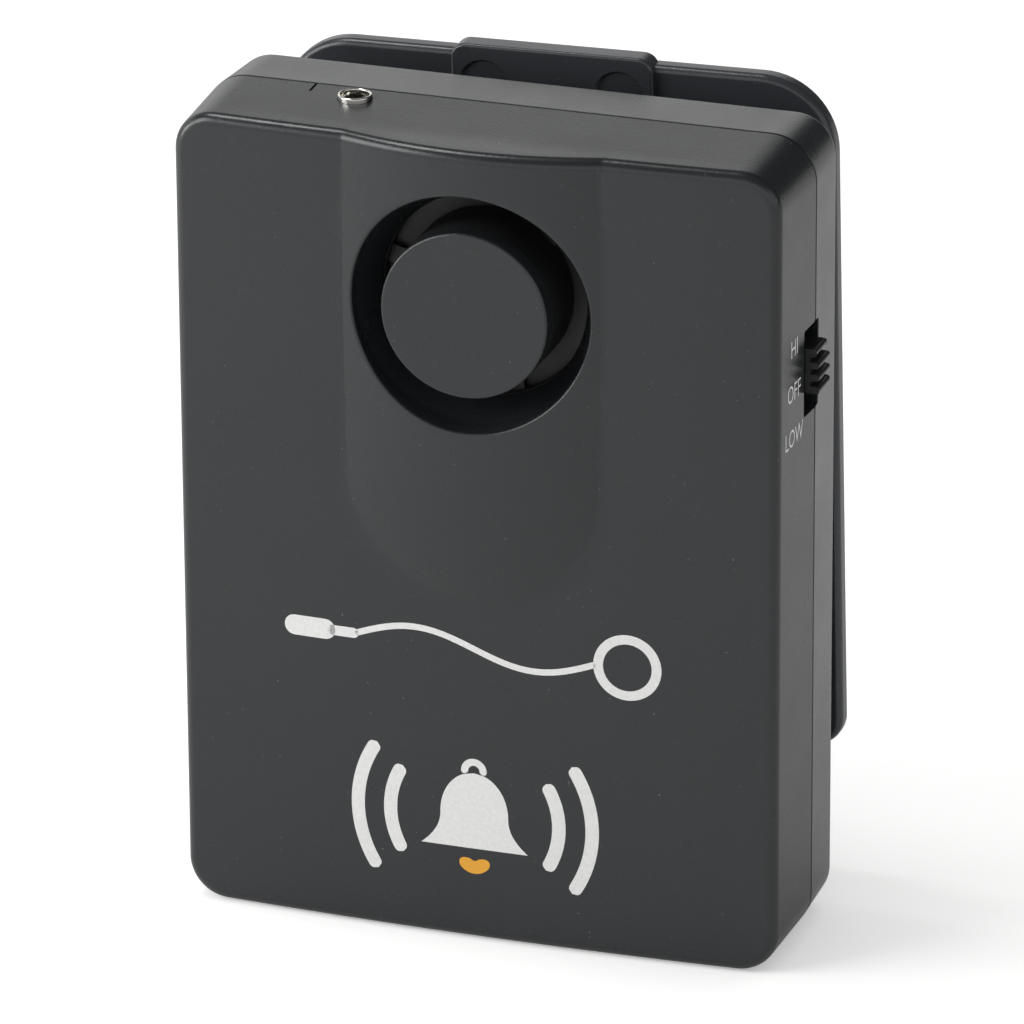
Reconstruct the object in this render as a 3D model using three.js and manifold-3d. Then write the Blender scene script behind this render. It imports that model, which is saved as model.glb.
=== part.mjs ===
// Emergency pull cord alarm: a pocket-sized plastic case in two shells, with a siren behind
// the round opening of its front, a pin jack on its top, a three-position slide switch on
// its right side, a 9 V battery behind a sliding door, and a sprung clip on its back.
// Millimetres. +Z is up, the front face looks along -Y and the clip is on the +Y side.
// The origin is on the underside, below the middle of the case.

import * as THREE from 'three';
import { mergeVertices } from 'three/addons/utils/BufferGeometryUtils.js';
import Module from 'manifold-3d';

const wasm = await Module();
wasm.setup();

// Case
const caseWidth = 76;
const caseHeight = 102;
const rearDepth = 9.85;
const seamY = 1.34;
const seamGap = 0.24;
const wall = 1.8;
const cornerRadius = 5.5;
const frontDraft = 0.55;
const rearDraft = 0.47;
const frontEdgeRadius = 1.3;
const backEdgeRadius = 0.8;
const crownHeight = 1.3;
const clearance = 0.3;
const lipThickness = 0.8;
const lipReach = 1.6;

// Raised band on the front, straight down from the top edge to a round end
const bandHalfWidth = 16;
const bandHeight = 2.4;
const bandEndDrop = 42.6;

// Battery, its compartment and its door
const batteryEndRoom = 14.8;
const batteryLength = caseWidth - 2 * batteryEndRoom;
const batteryWidth = 26.5;
const batteryThickness = 17.5;
const batteryEdgeRadius = 1.6;
const batteryRoom = 0.61;
const batteryShift = -2.7;
const studHeight = 2.1;
const studSpacing = 12.7;
const smallStudRadius = 2.8;
const largeStudRadius = 3.9;
const snapThickness = 3.9;
const snapDepth = 12.6;
const leadSpread = 2;
const leadPitch = 3;
const leadEndInset = 14;
const leadBow = 1.6;
const leadRise = 6;
const ribThickness = 1.1;
const doorThickness = 1.5;
const doorTongue = 0.8;
const doorTongueReach = 1.3;
const doorGripHeight = 0.5;
const doorGripPitch = 1.8;
const doorGripCount = 4;
const doorGripZ = 5.5;

// Screws
const screwInset = 6;
const screwShankRadius = 1.1;
const screwHeadRadius = 2.4;
const screwHeadHeight = 1.5;
const screwSink = 0.5;
const screwBite = 8;
const screwRecess = 0.7;
const frontBossRadius = 2.7;
const bossWall = 1.2;

// Siren
const sounderDrop = 20.8;
const sounderRadius = 14.7;
const throatRadius = 12.7;
const throatDepth = 3.9;
const rimDepth = 0.9;
const capRadius = 10.3;
const capWall = 1.4;
const capProud = 0.1;
const capEdge = 0.3;
const spokeWidth = 2.4;
const spokeCount = 3;
const sounderWall = 1.5;
const piezoThickness = 0.5;
const ringSeat = 1.3;
const ringThickness = 1.6;
const pocketDepth = 6.2;
const hornPlateThickness = 1;
const hornBoreRadius = 4;
const leadWayHalf = 5;
const sounderLeadSpread = 3;
const sounderLeadDrop = 4.6;

// Circuit board and what stands on it
const boardThickness = 1.6;
const boardStandoff = 4.4;
const boardInset = 3;
const postRadius = 2.3;
const chipLength = 19.3;
const chipWidth = 6.4;
const chipHeight = 3.4;
const legPitch = 2.54;
const legCount = 7;
const legWidth = 0.5;
const legReach = 0.9;
const chipStandoff = 0.4;
const chipX = -8;
const middleRowRise = 14;
const lowRowRise = 5;
const coilRadius = 4.5;
const coilHeight = 9;
const coilFlange = 1.2;
const coilX = 14;
const canRadius = 3.2;
const canHeight = 9.5;
const canGroove = 0.3;
const canInset = 7.2;
const transistorRadius = 2.3;
const transistorHeight = 4.6;
const transistorX = 5;
const resistorLength = 6.3;
const resistorRadius = 1.15;
const resistorCount = 4;
const resistorPitch = 3.6;
const resistorX = -16;
const resistorWireRadius = 0.3;
const resistorWireReach = 1.4;
const leadRadius = 0.65;

// Slide switch
const switchDrop = 28.15;
const slotHeight = 10.9;
const slotFront = -2.45;
const slotBack = 2.7;
const knobHeight = 5.6;
const knobWidth = 4.3;
const knobReach = 1.6;
const knobLift = 0.35;
const knobRibPitch = 1.6;
const knobRibWidth = 0.85;
const knobRibDepth = 1.2;
const knobTravel = 2;
const switchLength = 18;
const switchBodyWidth = 5.8;
const stemWidth = 1.8;
const stemReach = 2.2;

// Pin jack
const jackX = -17.9;
const jackY = -1.9;
const jackOuterRadius = 2.05;
const jackBoreRadius = 1.4;
const jackProud = 0.45;
const jackSleeveLength = 7;
const jackBodyWidth = 8;
const jackBodyHeight = 10.4;
const jackBodyFloor = 1.5;
const contactThickness = 0.35;
const contactWidth = 2.4;
const notchLeft = 6.1;
const notchRight = 2;
const notchDepth = 2.6;

// Clip
const clipHalfWidth = 34.9;
const clipTopRise = -0.1;
const clipFoot = 16.2;
const clipThickness = 3;
const clipGap = 7.6;
const clipTopRadius = 9.2;
const clipFootRadius = 3.6;
const clipEdgeRadius = 0.9;
const clipSkew = THREE.MathUtils.degToRad(1.2);
const clipShift = 0.4;
const tabHalfWidth = 12.7;
const tabHeight = 15;
const tabRise = 1.1;
const tabProud = 1;
const tabRadius = 1.8;
const dimpleRadius = 3.2;
const dimpleDepth = 0.4;
const dimpleSpacing = 17;
const tabEdgeRadius = 0.4;
const jawHeight = 3;
const jawHalfWidth = 20;
const toothDepth = 0.8;
const hingeDrop = 30;
const hingePinRadius = 1.2;
const hingePlay = 0.15;
const lugRadius = 2.7;
const lugThickness = 2.4;
const lugHalfSpan = 7.8;
const clipEarGap = 0.4;
const pinEnd = 0.3;
const springWire = 0.5;
const springRadius = 2.6;
const springTurns = 4;
const springLeg = 12;

// Worked-out places of the case
const halfWidth = caseWidth / 2;
const crownAt = (x) => crownHeight * (1 - (x / halfWidth) ** 2);
const batteryEndX = batteryLength / 2 - batteryShift;
const compartmentDepth = batteryThickness + doorTongue + 2 * clearance + batteryRoom;
const caseDepth = compartmentDepth + 2 * wall - crownAt(batteryEndX);
const backY = seamY + rearDepth;
const frontY = backY - caseDepth;
const innerBackY = backY - wall;
const frontRimY = seamY - seamGap / 2;
const rearRimY = seamY + seamGap / 2;
const innerX = halfWidth - wall;
const innerTopZ = caseHeight - wall;
const bandEndZ = caseHeight - bandEndDrop;

// Worked-out places inside
const lipInset = wall + clearance;
const floorZ = lipInset + lipThickness + clearance;
const doorInnerY = innerBackY - clearance - doorTongue;
const batteryBackY = doorInnerY - clearance;
const batteryFrontY = batteryBackY - batteryThickness;
const batteryY = (batteryBackY + batteryFrontY) / 2;
const batteryZ = floorZ + batteryWidth / 2;
const partitionZ = floorZ + batteryWidth + 2 * clearance;
const partitionTopZ = partitionZ + ribThickness;
const boardBackY = innerBackY - boardStandoff;
const boardFrontY = boardBackY - boardThickness;
const boardFootZ = partitionTopZ + 5 * clearance;
const boardTopZ = innerTopZ - lipThickness - 8 * clearance;
const screwX = halfWidth - screwInset;
const screwHighZ = caseHeight - screwInset - clearance;
const screwLowZ = screwInset + clearance;
const counterboreRadius = screwHeadRadius + clearance;
const rearBossRadius = counterboreRadius + bossWall;
const shankHoleRadius = screwShankRadius + clearance;
const doorHalfWidth = screwX - rearBossRadius - doorTongueReach - 3 * clearance;
const ribX = doorHalfWidth + doorTongueReach + 2 * clearance;
const doorTopZ = partitionZ - 2 * clearance;
const sounderZ = caseHeight - sounderDrop;
const bandCrestY = frontY - crownHeight - bandHeight;
const throatY = frontY + throatDepth;
const switchZ = caseHeight - switchDrop;
const knobZ = switchZ + knobLift;

// Worked-out places of the clip
const clipTopZ = caseHeight + clipTopRise;
const clipFrontY = backY + clipGap;
const clipBackY = clipFrontY + clipThickness;
const hingeZ = caseHeight - hingeDrop;
const hingeY = clipFrontY - clearance - springWire - springRadius;

// Facet counts
const fineFacets = 40;
const middleFacets = 28;
const facets = 14;
const cornerSteps = 5;
const bandSteps = 12;
const bandEndSteps = 4;
const edgeSteps = 3;

// Colours and finishes
function finish(color, roughness, metalness) {
  return new THREE.MeshStandardMaterial({ color, roughness, metalness });
}
const charcoal = finish('#47494b', 0.48, 0);
const black = finish('#1b1c1d', 0.45, 0);
const nickel = finish('#c9c7c0', 0.18, 1);
const steel = finish('#9c9da0', 0.35, 1);
const springSteel = finish('#8d8e92', 0.3, 1);
const brass = finish('#c59b4a', 0.35, 1);
const phenolic = finish('#8a6a3a', 0.6, 0);
const batterySkin = finish('#3c4f63', 0.35, 0.2);
const ferrite = finish('#3a3836', 0.7, 0);
const resistorBody = finish('#c9a877', 0.55, 0);
const redVinyl = finish('#a51f1c', 0.5, 0);
const blackVinyl = finish('#17181a', 0.5, 0);

const alarm = new THREE.Group();

// Solids and meshes

function solid(geometry) {
  const plain = geometry.clone();
  plain.deleteAttribute('normal');
  plain.deleteAttribute('uv');
  const merged = mergeVertices(plain, 1e-4);
  return new wasm.Manifold(new wasm.Mesh({
    numProp: 3,
    vertProperties: new Float32Array(merged.attributes.position.array),
    triVerts: new Uint32Array(merged.index.array),
  }));
}

function geometryOf(body) {
  const mesh = body.getMesh();
  const geometry = new THREE.BufferGeometry();
  geometry.setAttribute('position', new THREE.BufferAttribute(mesh.vertProperties, 3));
  geometry.setIndex(new THREE.BufferAttribute(mesh.triVerts, 1));
  geometry.computeVertexNormals();
  return geometry;
}

function add(name, body, material) {
  const mesh = new THREE.Mesh(geometryOf(body), material);
  mesh.name = name;
  alarm.add(mesh);
}

function block(low, high) {
  const size = high.map((value, k) => value - low[k]);
  const geometry = new THREE.BoxGeometry(...size);
  geometry.translate(...low.map((value, k) => value + size[k] / 2));
  return solid(geometry);
}

// A body turned about an axis along Y through (x, z), from a profile of [radius, y] points
function turnedAlongY(profile, x, z, count = facets) {
  const points = profile.map(([radius, y]) => new THREE.Vector2(radius, y));
  const geometry = new THREE.LatheGeometry(points, count);
  geometry.translate(x, 0, z);
  return solid(geometry);
}

// The same about an axis along Z through (x, y), from [radius, z] points
function turnedAlongZ(profile, x, y, count = facets) {
  const points = profile.map(([radius, z]) => new THREE.Vector2(radius, z));
  const geometry = new THREE.LatheGeometry(points, count);
  geometry.rotateX(Math.PI / 2);
  geometry.translate(x, y, 0);
  return solid(geometry);
}

// The same about an axis along X through (y, z), from [radius, x] points
function turnedAlongX(profile, y, z, count = facets) {
  const points = profile.map(([radius, x]) => new THREE.Vector2(radius, x));
  const geometry = new THREE.LatheGeometry(points, count);
  geometry.rotateZ(-Math.PI / 2);
  geometry.translate(0, y, z);
  return solid(geometry);
}

const rod = (radius, from, to) => [[0, from], [radius, from], [radius, to], [0, to]];

// A plate drawn in the X-Z plane and run from one Y to another, its edges rounded
function plate(shape, fromY, toY, edge = 0) {
  const geometry = new THREE.ExtrudeGeometry(shape, {
    depth: toY - fromY - 2 * edge,
    bevelEnabled: edge > 0,
    bevelThickness: edge,
    bevelSize: edge,
    bevelOffset: -edge,
    bevelSegments: 2,
    curveSegments: 5,
  });
  geometry.rotateX(Math.PI / 2);
  geometry.translate(0, toY - edge, 0);
  return solid(geometry);
}

// A round-cornered rectangle with its own radius for the top and the bottom corners
function roundedShape(left, right, foot, top, footRadius, topRadius) {
  const shape = new THREE.Shape();
  shape.moveTo(left + footRadius, foot);
  shape.lineTo(right - footRadius, foot);
  shape.absarc(right - footRadius, foot + footRadius, footRadius, -Math.PI / 2, 0);
  shape.lineTo(right, top - topRadius);
  shape.absarc(right - topRadius, top - topRadius, topRadius, 0, Math.PI / 2);
  shape.lineTo(left + topRadius, top);
  shape.absarc(left + topRadius, top - topRadius, topRadius, Math.PI / 2, Math.PI);
  shape.lineTo(left, foot + footRadius);
  shape.absarc(left + footRadius, foot + footRadius, footRadius, Math.PI, 1.5 * Math.PI);
  return shape;
}

// Case body

// How far the front stands out beyond its edges: the crown, and the band on top of it
function reliefAt(x, z) {
  const offset = z > bandEndZ ? Math.abs(x) : Math.hypot(x, z - bandEndZ);
  const share = Math.min(offset / bandHalfWidth, 1);
  return crownAt(x) + bandHeight * (1 - share * share);
}

// The outline's columns from left to right, each with its lowest and highest point. Where
// the front's relief is wanted, more columns stand between the corners.
function outlineColumns(inset, footInset, withRelief) {
  const half = halfWidth - inset;
  const radius = Math.max(cornerRadius - inset, 0.6);
  const top = caseHeight - inset;
  const columns = [];
  for (let k = 0; k <= cornerSteps; k += 1) {
    const angle = (k / cornerSteps) * (Math.PI / 2);
    const rise = radius * (1 - Math.sin(angle));
    const x = -half + radius * (1 - Math.cos(angle));
    columns.push({ x, low: footInset + rise, high: top - rise });
  }
  if (withRelief) {
    const start = -half + radius;
    columns.push({ x: (start - bandHalfWidth) / 2, low: footInset, high: top });
    for (let k = 0; k <= bandSteps / 2; k += 1) {
      const x = -bandHalfWidth + (k / bandSteps) * 2 * bandHalfWidth;
      columns.push({ x, low: footInset, high: top });
    }
  }
  const other = columns.filter((c) => c.x < -1e-6).reverse().map((c) => ({ ...c, x: -c.x }));
  return columns.concat(other);
}

// A closed body lofted through rings of that outline. Each ring has its y, its inset, its
// inset at the foot, and whether it follows the relief of the front.
function loftedBody(rings) {
  const points = [];
  const indices = [];
  const put = (x, y, z) => points.push(x, y, z) / 3 - 1;
  const depthAt = (ring, x, z) => ring.y - (ring.relief ? reliefAt(x, z) : 0);
  const loops = rings.map((ring) => {
    const columns = outlineColumns(ring.inset, ring.foot, rings.some((other) => other.relief));
    const lower = columns.map((c) => put(c.x, depthAt(ring, c.x, c.low), c.low));
    const upper = columns.map((c) => put(c.x, depthAt(ring, c.x, c.high), c.high));
    return { ring, columns, lower, upper, loop: lower.concat([...upper].reverse()) };
  });
  for (let r = 0; r + 1 < loops.length; r += 1) {
    const near = loops[r].loop;
    const far = loops[r + 1].loop;
    for (let k = 0; k < near.length; k += 1) {
      const n = (k + 1) % near.length;
      indices.push(near[k], far[k], near[n], near[n], far[k], far[n]);
    }
  }
  const cap = ({ ring, columns, lower, upper }, flip) => {
    const face = (a, b, c) => indices.push(...(flip ? [a, c, b] : [a, b, c]));
    const stacks = columns.map((c, k) => {
      const inner = k === 0 || k === columns.length - 1 || !ring.relief ? [] : rowsAt(c.x);
      return [lower[k], ...inner.map((z) => put(c.x, depthAt(ring, c.x, z), z)), upper[k]];
    });
    for (let k = 0; k + 1 < stacks.length; k += 1) {
      const [a, b] = [stacks[k], stacks[k + 1]];
      const rows = Math.max(a.length, b.length) - 1;
      for (let j = 0; j < rows; j += 1) {
        const [a0, a1] = [a[Math.min(j, a.length - 1)], a[Math.min(j + 1, a.length - 1)]];
        const [b0, b1] = [b[Math.min(j, b.length - 1)], b[Math.min(j + 1, b.length - 1)]];
        if (b0 !== b1) {
          face(a0, b0, b1);
        }
        if (a0 !== a1) {
          face(a0, b1, a1);
        }
      }
    }
  };
  cap(loops[0], false);
  cap(loops[loops.length - 1], true);
  const forward = rings[rings.length - 1].y < rings[0].y;
  const geometry = new THREE.BufferGeometry();
  geometry.setAttribute('position', new THREE.Float32BufferAttribute(points, 3));
  geometry.setIndex(forward ? indices.reverse() : indices);
  return solid(geometry);
}

// Heights at which a column of the front face needs a point: the band's round end in steps
function rowsAt(x) {
  const reach = Math.min(Math.abs(x), bandHalfWidth);
  const end = Math.min(bandEndZ - Math.sqrt(bandHalfWidth ** 2 - reach ** 2), bandEndZ - 1);
  const rows = [];
  for (let k = 0; k <= bandEndSteps; k += 1) {
    rows.push(end + (k / bandEndSteps) * (bandEndZ - end));
  }
  return rows;
}

// Rings of one half of the case, from the seam to its face, with a rounded face edge
function caseRings(fromY, faceY, draft, edge, relief, inset, steps) {
  const toward = Math.sign(faceY - fromY);
  const rings = [{ y: fromY, inset, foot: inset, relief: false }];
  for (let k = 0; k <= steps; k += 1) {
    const angle = (k / steps) * (Math.PI / 2);
    const pull = edge * (1 - Math.cos(angle));
    rings.push({
      y: faceY - toward * edge * (1 - Math.sin(angle)),
      inset: inset + draft + pull,
      foot: inset + pull,
      relief,
    });
  }
  return rings;
}

const frontBody = loftedBody(
  caseRings(frontRimY, frontY, frontDraft, frontEdgeRadius, true, 0, edgeSteps),
);
const frontVoid = loftedBody(
  caseRings(frontRimY + 1, frontY + wall, frontDraft, frontEdgeRadius / 2, true, wall, 1),
);
const rearBody = loftedBody(
  caseRings(rearRimY, backY, rearDraft, backEdgeRadius, false, 0, edgeSteps),
);
const rearVoid = loftedBody(
  caseRings(rearRimY - 1, innerBackY, rearDraft, backEdgeRadius / 2, false, wall, 1),
);

const screwPlaces = [
  [-screwX, screwLowZ],
  [screwX, screwLowZ],
  [-screwX, screwHighZ],
  [screwX, screwHighZ],
];

// Front shell

// The siren's opening: a short straight rim, then a throat that narrows inwards
function throat(spare, endY) {
  const rimY = frontY - crownHeight + rimDepth;
  return turnedAlongY([
    [0, bandCrestY - 2],
    [sounderRadius + spare, bandCrestY - 2],
    [sounderRadius + spare, rimY],
    [throatRadius + spare, throatY],
    [throatRadius + spare, endY],
    [0, endY],
  ], 0, sounderZ, fineFacets);
}

// The slot for the knob, straight through the right-hand wall at the seam
function switchSlot() {
  return block(
    [innerX - lipThickness - 2 * clearance, slotFront, switchZ - slotHeight / 2],
    [halfWidth + 1, slotBack, switchZ + slotHeight / 2],
  );
}

function jackNotch(spare) {
  return block(
    [jackX - notchLeft - spare, seamY - notchDepth - spare, innerTopZ - 0.5],
    [jackX + notchRight + spare, seamY + 1, caseHeight + 1],
  );
}

function jackHole() {
  const radius = jackOuterRadius + clearance;
  return turnedAlongZ(rod(radius, innerTopZ - 1, caseHeight + 1), jackX, jackY);
}

function frontShell() {
  const collar = throat(sounderWall, throatY).intersect(frontBody);
  let shell = frontBody.subtract(frontVoid).add(collar);
  const bossEndY = seamY - clearance;
  for (const [x, z] of screwPlaces) {
    shell = shell.add(turnedAlongY(rod(frontBossRadius, frontY + wall / 2, bossEndY), x, z));
  }
  for (const [x, z] of screwPlaces) {
    const pilot = rod(shankHoleRadius, seamY - screwBite - clearance, seamY + 1);
    shell = shell.subtract(turnedAlongY(pilot, x, z));
  }
  shell = shell.subtract(throat(0, throatY + 1)).subtract(switchSlot());
  shell = shell.subtract(jackNotch(0)).subtract(jackHole());
  return shell;
}

// Rear shell

// A frame that runs round inside the case, between two insets and two depths
function frameBand(outerInset, innerInset, fromY, toY) {
  const outer = loftedBody([
    { y: fromY, inset: outerInset, foot: outerInset, relief: false },
    { y: toY, inset: outerInset, foot: outerInset, relief: false },
  ]);
  const inner = loftedBody([
    { y: fromY - 1, inset: innerInset, foot: innerInset, relief: false },
    { y: toY + 1, inset: innerInset, foot: innerInset, relief: false },
  ]);
  return outer.subtract(inner);
}

// The lip that stands forward of the seam, inside the front shell's wall
function seamLip() {
  const root = frameBand(wall / 2, lipInset + lipThickness, rearRimY, rearRimY + lipReach);
  const lip = frameBand(lipInset, lipInset + lipThickness, seamY - lipReach, rearRimY + 0.5);
  const switchRoom = block(
    [innerX - 2 * lipThickness - 2, -lipReach * 4, switchZ - switchLength / 2 - clearance],
    [innerX, lipReach * 4, switchZ + switchLength / 2 + clearance],
  );
  const jackRoom = block(
    [jackX - jackBodyWidth / 2 - 3 * clearance, -lipReach * 4, innerTopZ - 4],
    [jackX + jackBodyWidth / 2 + 3 * clearance, boardFrontY + 1, innerTopZ],
  );
  return root.add(lip).subtract(switchRoom).subtract(jackRoom);
}

// Two walls beside the battery and one above it; the one above leaves a way for the leads
function batteryRibs() {
  const frontEndY = batteryFrontY + 1;
  const rib = (x) => block(
    [x - ribThickness / 2, frontEndY, lipInset],
    [x + ribThickness / 2, innerBackY + wall / 2, partitionTopZ],
  );
  const above = block(
    [-ribX, frontEndY, partitionZ],
    [batteryEndX + batteryShift * 2, innerBackY + wall / 2, partitionTopZ],
  );
  return rib(-ribX).add(rib(ribX)).add(above);
}

const boardScrewPlaces = [
  [-screwX + 8, boardFootZ + 10],
  [screwX - 8, boardFootZ + 10],
  [sounderRadius + 6, boardTopZ - 4],
];

function boardPost(x, z) {
  return turnedAlongY(rod(postRadius, boardBackY + clearance, innerBackY + wall / 2), x, z);
}

// An ear that holds the hinge pin: a round end joined to its base by a straight web
function ear(fromX, toX, baseY) {
  const round = turnedAlongX(rod(lugRadius, fromX, toX), hingeY, hingeZ);
  const web = block(
    [fromX, Math.min(hingeY, baseY), hingeZ - lugRadius],
    [toX, Math.max(hingeY, baseY), hingeZ + lugRadius],
  );
  return round.add(web);
}

function pinHole() {
  const reach = lugHalfSpan + 3 * lugThickness;
  return turnedAlongX(rod(hingePinRadius + hingePlay, -reach, reach), hingeY, hingeZ);
}

function doorOpening() {
  const panel = block(
    [-doorHalfWidth - clearance, innerBackY - 1, -1],
    [doorHalfWidth + clearance, backY + 1, doorTopZ + clearance],
  );
  const tongueWay = block(
    [-doorHalfWidth - doorTongueReach - clearance, doorInnerY - clearance, -1],
    [doorHalfWidth + doorTongueReach + clearance, innerBackY, lipInset + lipThickness],
  );
  return panel.add(tongueWay);
}

function screwWay(x, z) {
  const shank = turnedAlongY(rod(shankHoleRadius, seamY - 1, backY), x, z);
  const headY = backY - screwSink - screwHeadHeight - clearance;
  return shank.add(turnedAlongY(rod(counterboreRadius, headY, backY + 1), x, z));
}

function rearShell() {
  let shell = rearBody.subtract(rearVoid).add(seamLip()).add(batteryRibs());
  for (const [x, z] of screwPlaces) {
    const boss = turnedAlongY(rod(rearBossRadius, seamY, innerBackY + wall / 2), x, z);
    shell = shell.add(boss.intersect(rearBody));
  }
  for (const [x, z] of boardScrewPlaces) {
    shell = shell.add(boardPost(x, z));
    const pilot = rod(shankHoleRadius, boardBackY, innerBackY - clearance);
    shell = shell.subtract(turnedAlongY(pilot, x, z));
  }
  for (const [x, z] of screwPlaces) {
    shell = shell.subtract(screwWay(x, z));
  }
  const tongue = jackNotch(-seamGap).intersect(block(
    [-halfWidth, -halfWidth, innerTopZ],
    [halfWidth, rearRimY + 1, caseHeight],
  ));
  shell = shell.add(tongue).subtract(jackHole());
  shell = shell.add(ear(-lugHalfSpan - lugThickness, -lugHalfSpan, backY - wall / 2));
  shell = shell.add(ear(lugHalfSpan, lugHalfSpan + lugThickness, backY - wall / 2));
  return shell.subtract(pinHole()).subtract(switchSlot()).subtract(doorOpening());
}

// Battery and door

// The door's panel lies flush in the back, and its tongues run inside the wall
function batteryDoor() {
  const panel = block(
    [-doorHalfWidth, backY - doorThickness, clearance],
    [doorHalfWidth, backY, doorTopZ],
  );
  const inner = block(
    [-doorHalfWidth, doorInnerY, clearance],
    [doorHalfWidth, backY - doorThickness + 0.1, doorTopZ],
  );
  const tongues = block(
    [-doorHalfWidth - doorTongueReach, doorInnerY, clearance],
    [doorHalfWidth + doorTongueReach, doorInnerY + doorTongue, doorTopZ],
  );
  let door = panel.add(inner).add(tongues);
  for (let k = 0; k < doorGripCount; k += 1) {
    const z = doorGripZ + k * doorGripPitch;
    door = door.add(block(
      [-doorHalfWidth / 3, backY - 0.1, z - doorGripPitch / 4],
      [doorHalfWidth / 3, backY + doorGripHeight, z + doorGripPitch / 4],
    ));
  }
  return door;
}

const studPlaces = [
  [batteryZ - studSpacing / 2, smallStudRadius],
  [batteryZ + studSpacing / 2, largeStudRadius],
];
const batteryTopX = batteryShift + batteryLength / 2;

function battery() {
  const outline = roundedShape(
    batteryShift - batteryLength / 2,
    batteryTopX,
    floorZ,
    floorZ + batteryWidth,
    batteryEdgeRadius,
    batteryEdgeRadius,
  );
  let body = plate(outline, batteryFrontY, batteryBackY, batteryEdgeRadius / 2);
  for (const [z, radius] of studPlaces) {
    const stud = rod(radius, batteryTopX - 1, batteryTopX + studHeight);
    body = body.add(turnedAlongX(stud, batteryY, z));
  }
  return body;
}

// The snap cap that presses on the battery's two studs, with a socket for each
function batterySnap() {
  const left = batteryTopX + clearance;
  let cap = block(
    [left, batteryY - snapDepth / 2, floorZ + 1],
    [left + snapThickness, batteryY + snapDepth / 2, floorZ + batteryWidth - 1],
  );
  for (const [z, radius] of studPlaces) {
    const socket = rod(radius + clearance, left - 1, left + studHeight);
    cap = cap.subtract(turnedAlongX(socket, batteryY, z));
  }
  return cap;
}

// A round wire along a route of points
function wire(points, radius, steps, sides = 8) {
  const curve = new THREE.CatmullRomCurve3(points.map((p) => new THREE.Vector3(...p)));
  const section = new THREE.Shape();
  for (let k = 0; k < sides; k += 1) {
    const angle = (k / sides) * 2 * Math.PI;
    const place = [radius * Math.cos(angle), radius * Math.sin(angle)];
    if (k === 0) {
      section.moveTo(...place);
    } else {
      section.lineTo(...place);
    }
  }
  return solid(new THREE.ExtrudeGeometry(section, { steps, extrudePath: curve }));
}

// A lead from the snap cap up past the end of the partition to the board's front face
function batteryLead(y, endX) {
  const x = batteryTopX + clearance + snapThickness / 2;
  const startZ = floorZ + batteryWidth - 1 + clearance;
  const endY = boardFrontY - clearance;
  return wire([
    [x, y, startZ],
    [x, y, partitionZ],
    [x, y, partitionTopZ + 2],
    [(x + endX) / 2, (y + endY) / 2 - 2 * clearance, boardFootZ + leadRise * 0.65],
    [endX, endY - leadBow, boardFootZ + leadRise * 0.9],
    [endX, endY, boardFootZ + leadRise],
  ], leadRadius, 16);
}

// Siren

const housingFrontY = throatY + clearance;
const housingBackY = boardFrontY - clearance;
const pocketRadius = throatRadius + ringSeat;
const piezoRadius = pocketRadius - 2 * clearance;
const housingRadius = pocketRadius + sounderWall;
const ledgeY = housingFrontY + pocketDepth;
const ringFrontY = housingFrontY + clearance;
const ringBackY = ringFrontY + ringThickness;
const piezoFrontY = ledgeY - clearance - piezoThickness;

function sounderHousing() {
  const body = rod(housingRadius, housingFrontY, housingBackY);
  const seat = rod(pocketRadius, housingFrontY - 1, ledgeY);
  const well = rod(pocketRadius - ringThickness, ledgeY - 1, housingBackY - sounderWall);
  let housing = turnedAlongY(body, 0, sounderZ, middleFacets);
  housing = housing.subtract(turnedAlongY(seat, 0, sounderZ, middleFacets));
  housing = housing.subtract(turnedAlongY(well, 0, sounderZ, middleFacets));
  const leadWay = block(
    [-leadWayHalf, ledgeY - clearance, sounderZ - housingRadius - 1],
    [leadWayHalf, ledgeY + 8 * clearance, sounderZ - housingRadius + leadWayHalf],
  );
  return housing.subtract(leadWay);
}

// The plate over the piezo disc: its bore lies behind the plug, and its rim holds the disc
function hornPlate() {
  const outer = pocketRadius - clearance;
  const frontFaceY = ringBackY + clearance;
  const backFaceY = frontFaceY + hornPlateThickness;
  const rimEndY = piezoFrontY - clearance;
  return turnedAlongY([
    [hornBoreRadius, frontFaceY],
    [outer, frontFaceY],
    [outer, rimEndY],
    [outer - sounderWall, rimEndY],
    [outer - sounderWall, backFaceY],
    [hornBoreRadius, backFaceY],
    [hornBoreRadius, frontFaceY],
  ], 0, sounderZ, middleFacets);
}

// The plug in the middle of the opening: a flat-faced cup on three spokes and a ring
function sounderCap() {
  const faceY = bandCrestY - capProud;
  const skirtY = ringBackY;
  let cap = turnedAlongY([
    [0, faceY],
    [capRadius - capEdge, faceY],
    [capRadius, faceY + capEdge],
    [capRadius, skirtY],
    [capRadius - capWall, skirtY],
    [capRadius - capWall, faceY + capWall],
    [0, faceY + capWall],
  ], 0, sounderZ, fineFacets);
  const ringOuter = pocketRadius - clearance;
  const ring = turnedAlongY([
    [throatRadius, ringFrontY],
    [ringOuter, ringFrontY],
    [ringOuter, ringBackY],
    [throatRadius, ringBackY],
    [throatRadius, ringFrontY],
  ], 0, sounderZ, middleFacets);
  cap = cap.add(ring);
  const spokeFrom = capRadius - capWall;
  const spokeTo = throatRadius + ringSeat / 3;
  for (let k = 0; k < spokeCount; k += 1) {
    const spoke = new THREE.BoxGeometry(spokeTo - spokeFrom, ringThickness, spokeWidth);
    spoke.translate((spokeTo + spokeFrom) / 2, (ringFrontY + ringBackY) / 2, 0);
    spoke.rotateY((k / spokeCount) * 2 * Math.PI + Math.PI / 2);
    spoke.translate(0, 0, sounderZ);
    cap = cap.add(solid(spoke));
  }
  return cap;
}

function piezoDisc() {
  const disc = rod(piezoRadius, piezoFrontY, piezoFrontY + piezoThickness);
  return turnedAlongY(disc, 0, sounderZ, middleFacets);
}

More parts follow.
